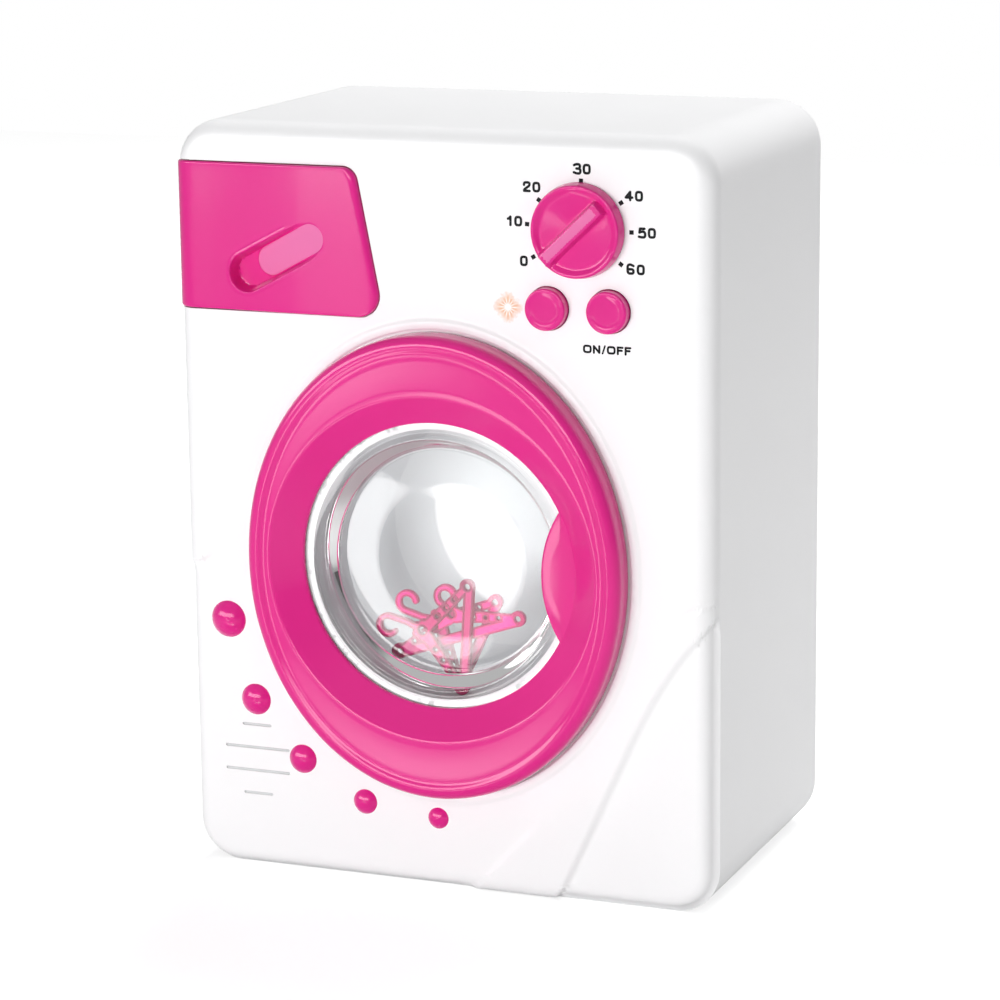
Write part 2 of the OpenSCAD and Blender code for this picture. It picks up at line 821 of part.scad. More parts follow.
// Fixed tub round the drum; it carries the bearing and the gearbox
module tub() {
    color(white) at_door() difference() {
        union() {
            rod(tub_r + tub_wall, tub_y0, tub_y1);
            rod(collar_r, tub_y0, tub_y0 + 1.6);
            for (sx = [-1, 1], sz = [-1, 1]) at([sx * tub_ear, sz * tub_ear])
                rod(post_r, inner_front + tub_post, inner_front + tub_post + tub_ear_t);
            slab(inner_front + tub_post, inner_front + tub_post + tub_ear_t)
                for (turn = [45, 135, 225, 315]) rotate(turn) translate([tub_r, -post_r])
                    square([tub_ear * sqrt(2) - tub_r, 2 * post_r]);
            rod(bush_r + 3, tub_y1 - 1, boss_y1);
            at([0, idler_up]) rod(idler_pin_r + 2, tub_y1 - 1, boss_y1);
            for (p = posts) at(p) rod(post_r, tub_y1 - 1, plate_y0);
        }
        rod(tub_r, tub_y0 - 1, tub_floor);
        rod(bush_r + 0.02, tub_floor - 1, boss_y1 + 1);
        at([0, idler_up]) rod(idler_pin_r + 0.02, tub_y1, boss_y1 + 1);
        for (p = posts) at(p) rod(small_r + thread_gap, plate_y0 - 8, plate_y0 + 1);
        for (sx = [-1, 1], sz = [-1, 1]) at([sx * tub_ear, sz * tub_ear])
            rod(small_r + thread_gap, tub_y0 - 1, tub_y0 + tub_post + tub_ear_t + 1);
        at([0, lamp_up]) {
            rod(lamp_r + 0.05, tub_y0 - 1, tub_y0 + 4.5);
            rod(lamp_r + 0.6, tub_y0 - 1, tub_y0 + 2.7);
        }
    }
}

module tub_screws() {
    color("silver") at_door() for (sx = [-1, 1], sz = [-1, 1]) at([sx * tub_ear, sz * tub_ear])
        screw(small_r, inner_front + 1, inner_front + tub_post + tub_ear_t, 2, 1.2);
}

module bearing_bush() {
    color("goldenrod") at_door() difference() {
        rod(bush_r, hub_y1 + seat_gap, boss_y1);
        rod(axle_r + run_gap, tub_floor - 3, boss_y1 + 1);
    }
}

// Plate behind the gears; the motor hangs on its back
module gear_plate() {
    color("#D8D8DA") at_door() difference() {
        union() {
            slab(plate_y0, plate_y1) difference() {
                translate([-plate_half, plate_low]) square([2 * plate_half, plate_high - plate_low]);
                for (s = [-1, 1]) translate([s * plate_half, plate_high]) rotate(45) square(8, center = true);
            }
            at([0, idler_up]) rod(idler_pin_r + 2, idler_y1 + seat_gap, plate_y0 + 0.5);
        }
        at([0, idler_up]) rod(idler_pin_r + 0.02, idler_y1 - 1, plate_y0 + 1);
        at([0, motor_up]) rod(3.2, plate_y0 - 1, plate_y1 + 1);
        for (p = posts) at(p) rod(small_r + 0.2, plate_y0 - 1, plate_y1 + 1);
        for (s = [-1, 1]) at([s * clamp_screw_x, motor_up])
            rod(small_r + thread_gap, plate_y0 - 1, plate_y1 + 1);
    }
}

// Four screws hold the plate and two the motor clamp
module gearbox_screws() {
    color("silver") at_door() {
        for (p = posts) at(p) screw(small_r, plate_y0 - 7, plate_y1, 2, 1.2);
        for (s = [-1, 1]) at([s * clamp_screw_x, motor_up]) screw(small_r, plate_y0, plate_y1 + 2, 2, 1.2);
    }
}

module idler_pin() {
    color("silver") at_door() at([0, idler_up]) rod(idler_pin_r, tub_y1 + 0.2, plate_y0 + 0.8);
}

module motor_outline(g) {
    intersection() {
        circle(motor_r + g);
        square([3 * motor_r, motor_flat + 2 * g], center = true);
    }
}

module motor() {
    color("silver") at_door() at([0, motor_up]) difference() {
        union() {
            slab(plate_y1, plate_y1 + motor_len) motor_outline(0);
            rod(3, plate_y0 + 0.3, plate_y1 + 1);
            for (s = [-1, 1]) at([6 * s, 0])
                block([-1.2, 1.2], [plate_y1 + motor_len - 1, plate_y1 + motor_len + 2.5], [-0.3, 0.3]);
        }
        rod(idler_pin_r + run_gap, plate_y0, plate_y1 + 3);
    }
}

module motor_clamp() {
    color(white) at_door() at([0, motor_up]) difference() {
        union() {
            slab(plate_y1, plate_y1 + clamp_len) translate([-clamp_out, -motor_flat / 2 - clamp_wall])
                square([2 * clamp_out, motor_flat + 2 * clamp_wall]);
            slab(plate_y1, plate_y1 + 2) bar([-clamp_screw_x, 0], [clamp_screw_x, 0], 3.2);
        }
        slab(plate_y1 - 1, plate_y1 + clamp_len + 1) motor_outline(0.1);
        for (s = [-1, 1]) at([s * clamp_screw_x, 0]) rod(small_r + 0.2, plate_y1 - 1, plate_y1 + 3);
    }
}

// Radius of a gear's teeth at their pitch line
function pitch_r(n) = gear_module * n / 2;

// Roll angle of an involute, in degrees, at pressure angle a
function roll(a) = tan(a) * 180 / PI - a;

// Half the angle of a tooth at radius r
function tooth_half(n, r) = 90 / n - gear_play / 4 / pitch_r(n) * 180 / PI
    + roll(pressure) - roll(acos(min(1, pitch_r(n) * cos(pressure) / r)));

// Gear outline with a tooth on the X axis
module gear_outline(n) {
    root = pitch_r(n) - 1.25 * gear_module;
    tip = pitch_r(n) + gear_module * 0.95;
    radii = [root, max(root, pitch_r(n) * cos(pressure)) + 0.05, pitch_r(n), tip];
    up = [for (i = [0:3]) [radii[i], -tooth_half(n, radii[i])]];
    down = [for (i = [3:-1:0]) [radii[i], tooth_half(n, radii[i])]];
    polygon([for (k = [0:n - 1], p = concat(up, down)) let (t = p[1] + k * 360 / n) p[0] * [cos(t), sin(t)]]);
}

// Gear pressed on the drum's axle, with a tooth towards the idler
module drum_gear() {
    color(white) at_door() difference() {
        union() {
            slab(gear_y0, gear_y0 + gear_t) rotate(90) gear_outline(drum_teeth);
            rod(axle_r + 2.5, gear_y0, idler_step - 0.1);
        }
        rod(axle_r + 0.02, gear_y0 - 1, gear_y0 + gear_t + 2);
    }
}

// Idler: its small gear meshes with the drum's, its large one with the pinion
module idler_gear() {
    color(white) at_door() at([0, idler_up]) difference() {
        union() {
            slab(gear_y0, idler_step + 0.2) rotate(270 + 180 / idler_small) gear_outline(idler_small);
            slab(idler_step + 0.2, idler_y1) rotate(90) gear_outline(idler_large);
        }
        rod(idler_pin_r + run_gap, gear_y0 - 1, idler_y1 + 1);
    }
}

// Brass pinion on the motor's shaft
module motor_pinion() {
    color("goldenrod") at_door() at([0, motor_up]) {
        slab(idler_step, idler_y1 + 0.4) rotate(270 + 180 / pinion_teeth) gear_outline(pinion_teeth);
        rod(idler_pin_r, idler_y1, plate_y1 + 2.5);
    }
}

// Box that guides the drawer
module drawer_housing() {
    tab_y = inner_front + housing_post;
    tab_w = 2 * post_r;
    color(white) difference() {
        union() {
            block([housing_x0, housing_x1], [inner_front + 0.8, housing_y1], [housing_z0, housing_z1]);
            for (p = housing_posts) at(p) rod(post_r, tab_y, tab_y + 2);
            for (i = [0, 1]) let (p = housing_posts[i])
                block([p[0] - post_r, p[0] + post_r], [tab_y, tab_y + 2],
                    [min(p[1], housing_z1 - 1), max(p[1], housing_z0 + 1)]);
            block([housing_x1 - 1, housing_posts[2][0]], [tab_y, tab_y + 2],
                [housing_posts[2][1] - post_r, housing_posts[2][1] + post_r]);
        }
        block([tray_x0 - tray_gap, tray_x1 + tray_gap], [inner_front - 1, tray_y1 + tray_gap],
            [tray_z0 - tray_gap, tray_z1 + tray_gap]);
        for (p = housing_posts) at(p) rod(small_r + 0.2, tab_y - 1, tab_y + 3);
    }
}

module housing_screws() {
    tab_y = inner_front + housing_post;
    color("silver") for (p = housing_posts) at(p) screw(small_r, tab_y - 3.6, tab_y + 2, 2, 1.2);
}

module hinge_pin() {
    reach = ear_half + ear_h / 2 + ear_gap + knuckle_h;
    color("silver") translate([hinge_x, hinge_y, door_z - reach]) cylinder(r = hinge_pin_r, h = 2 * reach);
}

// Block behind the front wall that the latch tongue enters
module door_catch() {
    color(white) at_door() difference() {
        block([collar_r + 1, latch_x + latch_t + 4], [inner_front, inner_front + catch_t],
            [-latch_h / 2 - 4, latch_h / 2 + 4]);
        at([-door_x, -door_z]) latch_slot(inner_front - 1, inner_front + catch_t + 1);
    }
}

// Glossy half-round stud with a peg through the case
module dome(i) {
    d = domes[i];
    rise = d[2] * dome_rise;
    ball = (d[2] * d[2] + rise * rise) / (2 * rise);
    color(pink) at(d) {
        intersection() {
            translate([0, panel_y - rise + ball, 0]) sphere(ball);
            rod(d[2] + 1, panel_y - rise - 1, panel_y);
        }
        rod(peg_r, panel_y - 0.2, inner_front + 1.5);
    }
}

module speaker() {
    color("#404044") at([speaker_x, speaker_z]) difference() {
        union() {
            rod(speaker_r, inner_front, inner_front + 1.6);
            spun() polygon([[0, inner_front + 1], [speaker_r - 1, inner_front + 1],
                [speaker_r / 2 + 1.5, inner_front + speaker_t], [0, inner_front + speaker_t]]);
            rod(speaker_r / 2, inner_front + speaker_t - 0.5, inner_front + speaker_t + 4);
        }
        spun() polygon([[0, inner_front - 1], [speaker_r - 2, inner_front - 1], [4, inner_front + 3.2],
            [0, inner_front + 3.2]]);
    }
}

// Strap over the speaker's magnet
module speaker_clamp() {
    y = inner_front + speaker_t;
    color(white) difference() {
        slab(y, y + 1.6) {
            bar(speaker_screw_at(-1), speaker_screw_at(1), post_r);
            translate([speaker_x, speaker_z]) circle(speaker_r / 2 + 2.6);
        }
        at([speaker_x, speaker_z]) rod(speaker_r / 2 + 0.1, y - 1, y + 3);
        for (s = [-1, 1]) at(speaker_screw_at(s)) rod(small_r + 0.2, y - 1, y + 3);
    }
}

module circuit_board() {
    color("#2E7D4F") difference() {
        block([board_x - board_w / 2, board_x + board_w / 2], [board_y0, board_y1],
            [board_z - board_h / 2, board_z + board_h / 2]);
        for (p = board_posts) at([board_x + p[0] * board_post_x, board_z + p[1] * board_post_z])
            rod(small_r + 0.2, board_y0 - 1, board_y1 + 1);
    }
    color("#303030") at([board_x, board_z]) rod(5, board_y1 - 0.1, board_y1 + 1.4);
}

// Push switches behind the two buttons
module switches() {
    color("#505058") for (x = button_x) at([x, button_z]) {
        block([-switch_w / 2, switch_w / 2], [switch_y, board_y0], [-switch_w / 2, switch_w / 2]);
        rod(1.5, plunger_y, switch_y + 0.5);
    }
}

// Small lamp at the top of the door opening
lamp_r = 1.5;
lamp_up = opening_r - lamp_r + 0.2;
module lamp() {
    color("#FFF2C0") at_door() at([0, lamp_up]) {
        rod(lamp_r, tub_y0 + 0.3, tub_y0 + 4.4);
        rod(lamp_r + 0.5, tub_y0 + 1.6, tub_y0 + 2.6);
    }
}

// Board screws and the two that hold the speaker's strap
module board_screws() {
    color("silver") {
        for (p = board_posts) at([board_x + p[0] * board_post_x, board_z + p[1] * board_post_z])
            screw(small_r, board_y0 - 6, board_y1, 2, 1.2);
        for (s = [-1, 1]) at(speaker_screw_at(s))
            screw(small_r, inner_front + speaker_t - 4, inner_front + speaker_t + 1.6, 2, 1.2);
    }
}

// Springy arm beside the click wheel
module click_arm() {
    tip = click_r + seat_gap;
    color(white) at([knob_x, knob_z]) {
        block([tip + 1, tip + 6], [inner_front, click_y1 + 1], [-9, -4]);
        block([tip + 1, tip + 2.2], [click_y0, click_y1], [-4.5, 7]);
        block([tip, tip + 1.5], [click_y0, click_y1], [-1, 1]);
    }
}

module button_spring(i) {
    y0 = button_flange_y + button_flange_t;
    color("silver") at([button_x[i], button_z]) difference() {
        rod(spring_r, y0 + 0.05, board_y0 - 0.05);
        rod(spring_r - 0.8, y0 - 1, board_y0 + 1);
    }
}

// Open-backed box for the cells, with a rim that the cover rests on
module battery_box() {
    rim_y = inner_back - box_rim;
    color(white) difference() {
        union() {
            block([-box_half, box_half], [box_y0, inner_back], [box_z, box_z + box_h]);
            block([-cover_half - 2, cover_half + 2], [rim_y, inner_back],
                [max(cover_z0 - 2, back_fillet), cover_z1 + 2]);
            at([0, cover_screw_z]) rod(post_r, rim_y - 6, inner_back);
        }
        block([-box_half + box_wall, box_half - box_wall], [box_y0 + box_wall, inner_back + 1],
            [box_z + box_wall, box_z + box_h - box_wall]);
        at([0, cover_screw_z]) rod(small_r + thread_gap, rim_y - 5, inner_back + 1);
    }
}

function cell_z(i) = box_z + box_wall + (i + 0.5) * cell_pitch;
cell_y = inner_back - cell_room - cell_r;

// Cells laid across, with their caps alternating
module batteries() {
    for (i = [0:cells - 1]) translate([0, cell_y, cell_z(i)]) mirror([i % 2, 0, 0]) rotate([0, 90, 0]) {
        color("#3A3A3E") translate([0, 0, -cell_len / 2]) cylinder(r = cell_r, h = cell_len - 1.2);
        color("goldenrod") translate([0, 0, cell_len / 2 - 1.3]) cylinder(r = 2.7, h = 1.3);
    }
}

// Sprung plates at both ends of each cell
module battery_contacts() {
    end = box_half - box_wall;
    color("silver") for (i = [0:cells - 1], s = [0, 1]) translate([0, cell_y, cell_z(i)]) mirror([s, 0, 0]) {
        block([end - 0.4, end], [-5, 5], [-5.5, 5.5]);
        translate([cell_len / 2 + cell_room, 0, 0]) rotate([0, 90, 0])
            cylinder(r = 2, h = end - 0.3 - cell_len / 2 - cell_room);
    }
}

module case_screws() {
    seat = well_y + well_floor;
    color("silver") for (p = wells) at(p) screw(screw_r, well_y - screw_grip, seat, screw_head_r, screw_head_h);
}

// Unit vector along v
function unit(v) = v / norm(v);

// Six-sided wire swept along a path
wire_sides = 6;
module wire(path, r) {
    n = len(path);
    m = wire_sides;
    points = [for (i = [0:n - 1])
        let (d = unit((i < n - 1 ? unit(path[i + 1] - path[i]) : [0, 0, 0])
                + (i > 0 ? unit(path[i] - path[i - 1]) : [0, 0, 0])),
            u = unit(cross(d, [0.9, 0.3, 0.3])), v = cross(d, u))
        for (k = [0:m - 1]) path[i] + r * (cos(k * 360 / m) * u + sin(k * 360 / m) * v)];
    sides = [for (i = [0:n - 2], k = [0:m - 1]) let (a = i * m + k, b = i * m + (k + 1) % m)
        each [[a, b, b + m], [a, b + m, a + m]]];
    start = [for (k = [1:m - 2]) [0, k + 1, k]];
    end = [for (k = [1:m - 2]) [(n - 1) * m, (n - 1) * m + k, (n - 1) * m + k + 1]];
    polyhedron(points, concat(sides, start, end));
}

// Leads from the battery box, the motor and the speaker to the board
wire_r = 0.7;
module wiring() {
    top = board_z + 6;
    wall_y = inner_back - 2;
    motor_y = plate_y1 + motor_len;
    motor_z = door_z + motor_up;
    cup = inner_front + speaker_t + 4;
    color("firebrick") wire([[18, box_y0 + 8, box_z + box_h], [18, box_y0 + 8, cover_z1 + 12],
        [34, wall_y, 170], [40, 20, top], [40, board_y1, top]], wire_r);
    color("#202020") {
        wire([[0, motor_y + wire_r, motor_z + 3], [0, wall_y, motor_z + 8], [44, wall_y, 186], [46, 20, top + 2],
            [46, board_y1, top + 2]], wire_r);
        wire([[speaker_x, cup + wire_r, speaker_z + 3], [speaker_x - 12, cup + 6, speaker_z + 14], [-86, cup + 8, 100],
            [-86, cup + 10, 160], [-60, 20, 180], [10, 20, 176], [board_x - 8, -10, board_z - 6],
            [board_x - 8, board_y1, board_z - 6]], wire_r);
    }
}

// Solid ring with a rounded rim and a flat band sunk inside the rim's crest
module ring_solid() {
    difference() {
        oval_stack(concat([[0, door_back]],
            [for (t = [0:18:90]) [bead_r * (cos(t) - 1), door_crest + bead_r * (1 - sin(t))]]));
        oval_stack([[-bead_r - 2.6, band_y], [-bead_r - 1.8, band_y - 0.15], [-bead_r - 0.8, door_crest + 0.1],
            [-bead_r - 0.2, door_crest - 0.5]]);
    }
}

// Space in front of the funnel, t larger all round and with its floor t_floor further back
module funnel(t, floor_y) {
    spun() polygon([[0, door_crest - 5], [dish_r + t, door_crest - 5], [dish_r + t, band_y],
        [window_r + t, lip_y], [window_r + t, floor_y], [0, floor_y]]);
}

// Places something at each of the four screws of the window's clamp ring
module at_retainer_screws() {
    for (turn = [45:90:315]) rotate([0, turn, 0]) translate([retainer_screw_r, 0, 0]) children();
}

// Oval door frame with funnel, pull tab, hinge knuckles and latch tongue
module door_frame() {
    color(pink) difference() {
        at_door() {
            difference() {
                union() {
                    difference() {
                        ring_solid();
                        difference() {
                            slab(band_y + door_wall, door_back + 1) oval(-door_wall);
                            funnel(door_wall, flange_y);
                            block([1 - door_a, 3 + hinge_in - door_a], [door_crest, door_back + 1], [-30, 30]);
                        }
                    }
                    at_retainer_screws() rod(small_r + 1.4, band_y + 1, flange_y);
                }
                funnel(0, door_back + 1);
            }
            pull_tab();
            block([latch_x, latch_x + latch_t], [band_y + 1, latch_tip], [-latch_h / 2, latch_h / 2]);
        }
        at_door() at_retainer_screws() rod(small_r + thread_gap, flange_y - 4.3, flange_y + 1);
        hinge_room();
        translate([hinge_x, hinge_y, door_z - 30]) cylinder(r = hinge_pin_r + run_gap, h = 60);
    }
}

// Clears the ears and rounds the back edge that swings past the case
module hinge_room() {
    swing = hinge_out - bezel_h - 0.3;
    translate([hinge_x, hinge_y, door_z]) {
        for (s = [-1, 1]) translate([0, 0, s * ear_half])
            block([-hinge_in - 1, ear_r + ear_gap], [-ear_r - 0.3, 10],
                [-ear_h / 2 - ear_gap, ear_h / 2 + ear_gap]);
        block([-hinge_in - 1, 6], [-ear_r - 0.3, 10], [-ear_half + ear_h / 2 + ear_gap + knuckle_h - 0.1,
            ear_half - ear_h / 2 - ear_gap - knuckle_h + 0.1]);
        difference() {
            block([-hinge_in - 1, 0], [0, 10], [-40, 40]);
            translate([0, 0, -41]) cylinder(r = swing, h = 82);
        }
    }
}

// Flat tongue that a finger pulls
module pull_tab() {
    slab(lip_y - 0.4, flange_y) intersection() {
        circle(window_r + 0.5);
        translate([window_r - tab_reach + tab_r, 0]) circle(tab_r);
    }
}

// Clear bowl with a flange
module door_window() {
    y = flange_y;
    deep = y + bowl_depth;
    color([0.86, 0.93, 0.95, 0.4]) at_door() spun() polygon([
        [flange_r, y], [flange_r, y + flange_t], [bowl_r + bowl_t + 0.6, y + flange_t],
        [bowl_end_r + 3 + bowl_t, deep - 1], [bowl_end_r + 1.6, deep + bowl_t - 0.4],
        [bowl_end_r * 0.6, deep + bowl_t + 0.6], [0, deep + bowl_t + 1], [0, deep + 1],
        [bowl_end_r * 0.6, deep + 0.6], [bowl_end_r, deep - 0.4], [bowl_end_r + 2.4, deep - 2], [bowl_r, y]]);
}

// Ring and four tabs that clamp the flange to the frame
module window_retainer() {
    color(white) at_door() difference() {
        union() {
            spun() translate([retainer_r, flange_back]) square([flange_r - retainer_r + 0.2, retainer_t]);
            spun() translate([flange_r + 0.1, flange_y]) square([retainer_wall, retainer_back - flange_y]);
            for (turn = [45:90:315]) rotate([0, turn, 0])
                block([flange_r + 0.4, retainer_screw_r + 2], [flange_y, flange_y + retainer_tab_t], [-3, 3]);
        }
        at_retainer_screws() {
            rod(small_r + 0.1, flange_y - 1, flange_y + 3);
            rod(retainer_head_r + 0.1, flange_y + retainer_tab_t - retainer_head_h, flange_y + 4);
        }
    }
}

module retainer_screws() {
    seat = flange_y + retainer_tab_t - retainer_head_h;
    color("silver") at_door() at_retainer_screws()
        screw(small_r, flange_y - 4, seat, retainer_head_r, retainer_head_h - 0.05);
}

// Drum with its lifter ribs and hub
module drum() {
    mouth = drum_outer + 0.6;
    color(white) at_door() {
        spun() {
            translate([drum_r, drum_y0]) square([drum_wall, drum_y1 - drum_y0]);
            translate([drum_r + drum_wall / 2, drum_y0]) circle(drum_wall / 2);
            translate([0, drum_y1 - drum_wall]) difference() {
                square([drum_outer, drum_wall]);
                translate([0, -1]) square([axle_r + 0.02, drum_wall + 2]);
            }
            translate([axle_r + 0.02, drum_y1 - 0.5]) square([hub_r - axle_r - 0.02, hub_y1 - drum_y1 + 0.5]);
        }
        for (i = [0:lifters - 1]) rotate([0, 90 + i * 360 / lifters, 0])
            slab(drum_y0 + 4, drum_y1 - 0.5) difference() {
                translate([-drum_r - drum_wall / 2, 0]) lifter_outline();
                circle(drum_r - lifter_h);
            }
    }
}

// Rib cross-section, standing on the drum's wall
module lifter_outline() {
    polygon([[0, -lifter_w / 2], [lifter_h, -lifter_w / 4], [lifter_h + 1, 0], [lifter_h, lifter_w / 4],
        [0, lifter_w / 2]]);
}

module drum_axle() {
    color("silver") at_door() rod(axle_r, drum_y1 - drum_wall + 0.2, idler_step + 0.9);
}

// Doll's clothes hanger: bar, shoulders with eyes, neck ring and hook
module hanger_outline() {
    half = hanger_w / 2;
    neck = 13;
    hook_r = 3.6;
    difference() {
        union() {
            bar([-half, 0], [half, 0], 1.7);
            for (s = [-1, 1]) {
                bar([s * half, 0.6], [0, neck - 1], 1.7);
                translate([s * half, 0.8]) circle(2.6);
                translate([s * half * 0.58, 6.6]) circle(3);
            }
            translate([0, neck]) circle(3);
            bar([0, neck], [0, neck + 3.6], 1);
            translate([0, neck + 3 + hook_r]) difference() {
                circle(hook_r + 1);
                circle(hook_r - 1);
                translate([-2 * hook_r, -hook_r]) square([2 * hook_r, 1.3 * hook_r]);
            }
        }
        for (s = [-1, 1]) {
            translate([s * half, 0.8]) circle(1.1);
            translate([s * half * 0.58, 6.8]) circle(1.1);
        }
        translate([0, neck]) circle(1.2);
    }
}

module hanger(i) {
    h = hangers[i];
    y0 = flange_y + bowl_depth + bowl_t + 1.6 + i * (hanger_t + hanger_gap);
    color(light_pink) at_door() at(h) slab(y0, y0 + hanger_t) rotate(h[2]) hanger_outline();
}

// Drawer front with its sunk grip; it wraps round the edge of the case
module drawer_front() {
    color(pink) difference() {
        union() {
            intersection() {
                slab(front_y - 2, part_y) drawer_outline(0);
                difference() {
                    front_case(-drawer_proud);
                    front_case(wall, 1);
                }
            }
            slab(inner_front - 1, cup_y1) grip_outline(cup_r);
        }
        slab(front_y - 3, grip_back) difference() {
            grip_outline(grip_r);
            ramp_outline();
        }
        ramp_space();
    }
}

// Round-ended ramp that rises from the grip's floor to its upper end
module ramp_outline() {
    translate([grip_x, grip_z]) rotate(grip_turn) bar([ramp_start, 0], [ramp_end, 0], ramp_r);
}

// Space above the ramp's slope
module ramp_space() {
    face = front_y - drawer_proud;
    low = [ramp_start - ramp_r - 1, grip_back - 1.4];
    high = [ramp_end + ramp_r + 0.2, face + 0.25];
    intersection() {
        slab(face - 3, grip_back) ramp_outline();
        at([grip_x, grip_z]) rotate([0, -grip_turn, 0]) linear_extrude(4 * ramp_r, center = true)
            polygon([[low[0], face - 4], low, high, [high[0], face - 4]]);
    }
}

// Open-topped tray behind the drawer front
module drawer_tray() {
    color(white) difference() {
        block([tray_x0, tray_x1], [inner_front, tray_y1], [tray_z0, tray_z1]);
        block([tray_x0 + tray_wall, tray_x1 - tray_wall], [inner_front - 1, tray_y1 - tray_wall],
            [tray_z0 + tray_wall, tray_z1 + 1]);
        slab(inner_front - 1, cup_y1 + 0.1) grip_outline(cup_r + 0.1);
    }
}

// Knob with a rounded rim, a raised grip bar and its shaft
module knob() {
    face = knob_front + bar_h;
    bar_end = knob_r - knob_round - bar_w / 2 - 0.4;
    color(pink) at([knob_x, knob_z]) difference() {
        union() {
            spun() {
                translate([0, face]) square([knob_r - knob_round, knob_back - face]);
                translate([0, face + knob_round]) square([knob_r, knob_back - face - knob_round]);
                translate([knob_r - knob_round, face + knob_round]) circle(knob_round);
            }
            rotate([0, -knob_turn, 0]) slab(knob_front, face + 0.5)
                bar([-bar_end, 0], [bar_end, 0], bar_w / 2);
            rod(knob_shaft_r, knob_back - 0.5, click_y1);
        }
        rod(small_r + thread_gap, click_y1 - 7, click_y1 + 1);
    }
}

// Toothed wheel that clicks past the springy arm
module click_wheel() {
    color(white) at([knob_x, knob_z]) difference() {
        rod(click_r, click_y0, click_y1);
        for (i = [0:clicks - 1]) rotate([0, i * 360 / clicks, 0]) translate([click_r + 0.6, 0, 0])
            rod(1.3, click_y0 - 1, click_y1 + 1);
        rod(knob_shaft_r + 0.02, click_y0 - 1, click_y1 + 1);
    }
}

module knob_screw() {
    color("silver") at([knob_x, knob_z]) screw(small_r, click_y1 - 6, click_y1, knob_shaft_r + 1.4, 1.2);
}

// Round button with a dished face, a stop flange and a stem
module button(i) {
    face = front_y - button_out;
    dish_r = button_r - 1.4;
    ball = (dish_r * dish_r + button_dish * button_dish) / (2 * button_dish);
    color(pink) at([button_x[i], button_z]) difference() {
        union() {
            spun() {
                translate([0, face]) square([button_r - 1, button_flange_y - face]);
                translate([0, face + 1]) square([button_r, button_flange_y - face - 1 + 0.2]);
                translate([button_r - 1, face + 1]) circle(1);
            }
            rod(button_r + 1.4, button_flange_y, button_flange_y + button_flange_t);
            rod(2, button_flange_y + 0.5, stem_end);
        }
        translate([0, face + button_dish - ball, 0]) sphere(ball, $fn = 96);
    }
}

// Cover in the back wall, held by one screw
module battery_cover() {
    color(white) difference() {
        slab(inner_back + 0.05, back_y) cover_outline(0);
        at([0, cover_screw_z]) rod(small_r + 0.2, inner_back - 1, back_y + 1);
        at([0, cover_screw_z]) rod(2.4, back_y - 1.3, back_y + 1);
        for (i = [0:3]) translate([0, 0, cover_z0 + 4 + 3 * i])
            block([-9, 9], [back_y - 0.7, back_y + 1], [0, 1.4]);
    }
}

module cover_screw() {
    color("silver") at([0, cover_screw_z]) screw(small_r, inner_back - 5, back_y - 1.3, 2.2, 1.2);
}

front_shell();
rear_shell();
tub();
tub_screws();
bearing_bush();
gear_plate();
gearbox_screws();
idler_pin();
motor();
motor_clamp();
drawer_housing();
housing_screws();
hinge_pin();
door_catch();
dome(0);  // dome_1
dome(1);  // dome_2
dome(2);  // dome_3
dome(3);  // dome_4
dome(4);  // dome_5
speaker();
speaker_clamp();
circuit_board();
switches();
lamp();
board_screws();
click_arm();
button_spring(0);  // spring_light
button_spring(1);  // spring_power
battery_box();
batteries();
battery_contacts();
case_screws();
wiring();
door_frame();
door_window();
window_retainer();
retainer_screws();
drum();
drum_axle();
drum_gear();
hanger(0);  // hanger_1
hanger(1);  // hanger_2
hanger(2);  // hanger_3
drawer_front();
drawer_tray();
knob();
click_wheel();
knob_screw();
button(0);  // button_light
button(1);  // button_power
idler_gear();
motor_pinion();
battery_cover();
cover_screw();
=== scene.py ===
import math
import bpy
import numpy as np
from mathutils import Matrix, Vector
from mathutils.geometry import delaunay_2d_cdt

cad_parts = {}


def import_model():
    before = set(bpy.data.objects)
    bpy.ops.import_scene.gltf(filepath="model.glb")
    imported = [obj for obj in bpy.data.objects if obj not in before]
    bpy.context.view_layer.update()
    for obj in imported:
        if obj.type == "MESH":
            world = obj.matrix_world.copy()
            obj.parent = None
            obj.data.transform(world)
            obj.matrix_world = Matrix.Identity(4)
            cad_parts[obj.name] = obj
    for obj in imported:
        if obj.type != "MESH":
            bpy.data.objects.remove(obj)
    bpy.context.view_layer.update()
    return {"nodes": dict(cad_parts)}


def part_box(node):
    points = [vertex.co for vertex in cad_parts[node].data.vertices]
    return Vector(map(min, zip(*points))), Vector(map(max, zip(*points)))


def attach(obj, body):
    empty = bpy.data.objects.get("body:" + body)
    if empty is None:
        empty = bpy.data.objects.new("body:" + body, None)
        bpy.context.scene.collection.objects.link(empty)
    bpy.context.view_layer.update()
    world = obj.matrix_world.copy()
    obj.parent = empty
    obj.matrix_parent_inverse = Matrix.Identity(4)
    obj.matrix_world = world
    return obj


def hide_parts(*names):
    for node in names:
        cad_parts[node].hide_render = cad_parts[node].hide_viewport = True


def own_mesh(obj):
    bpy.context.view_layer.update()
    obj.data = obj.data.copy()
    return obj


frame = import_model()
scene = bpy.context.scene
scene.view_settings.view_transform = "Standard"

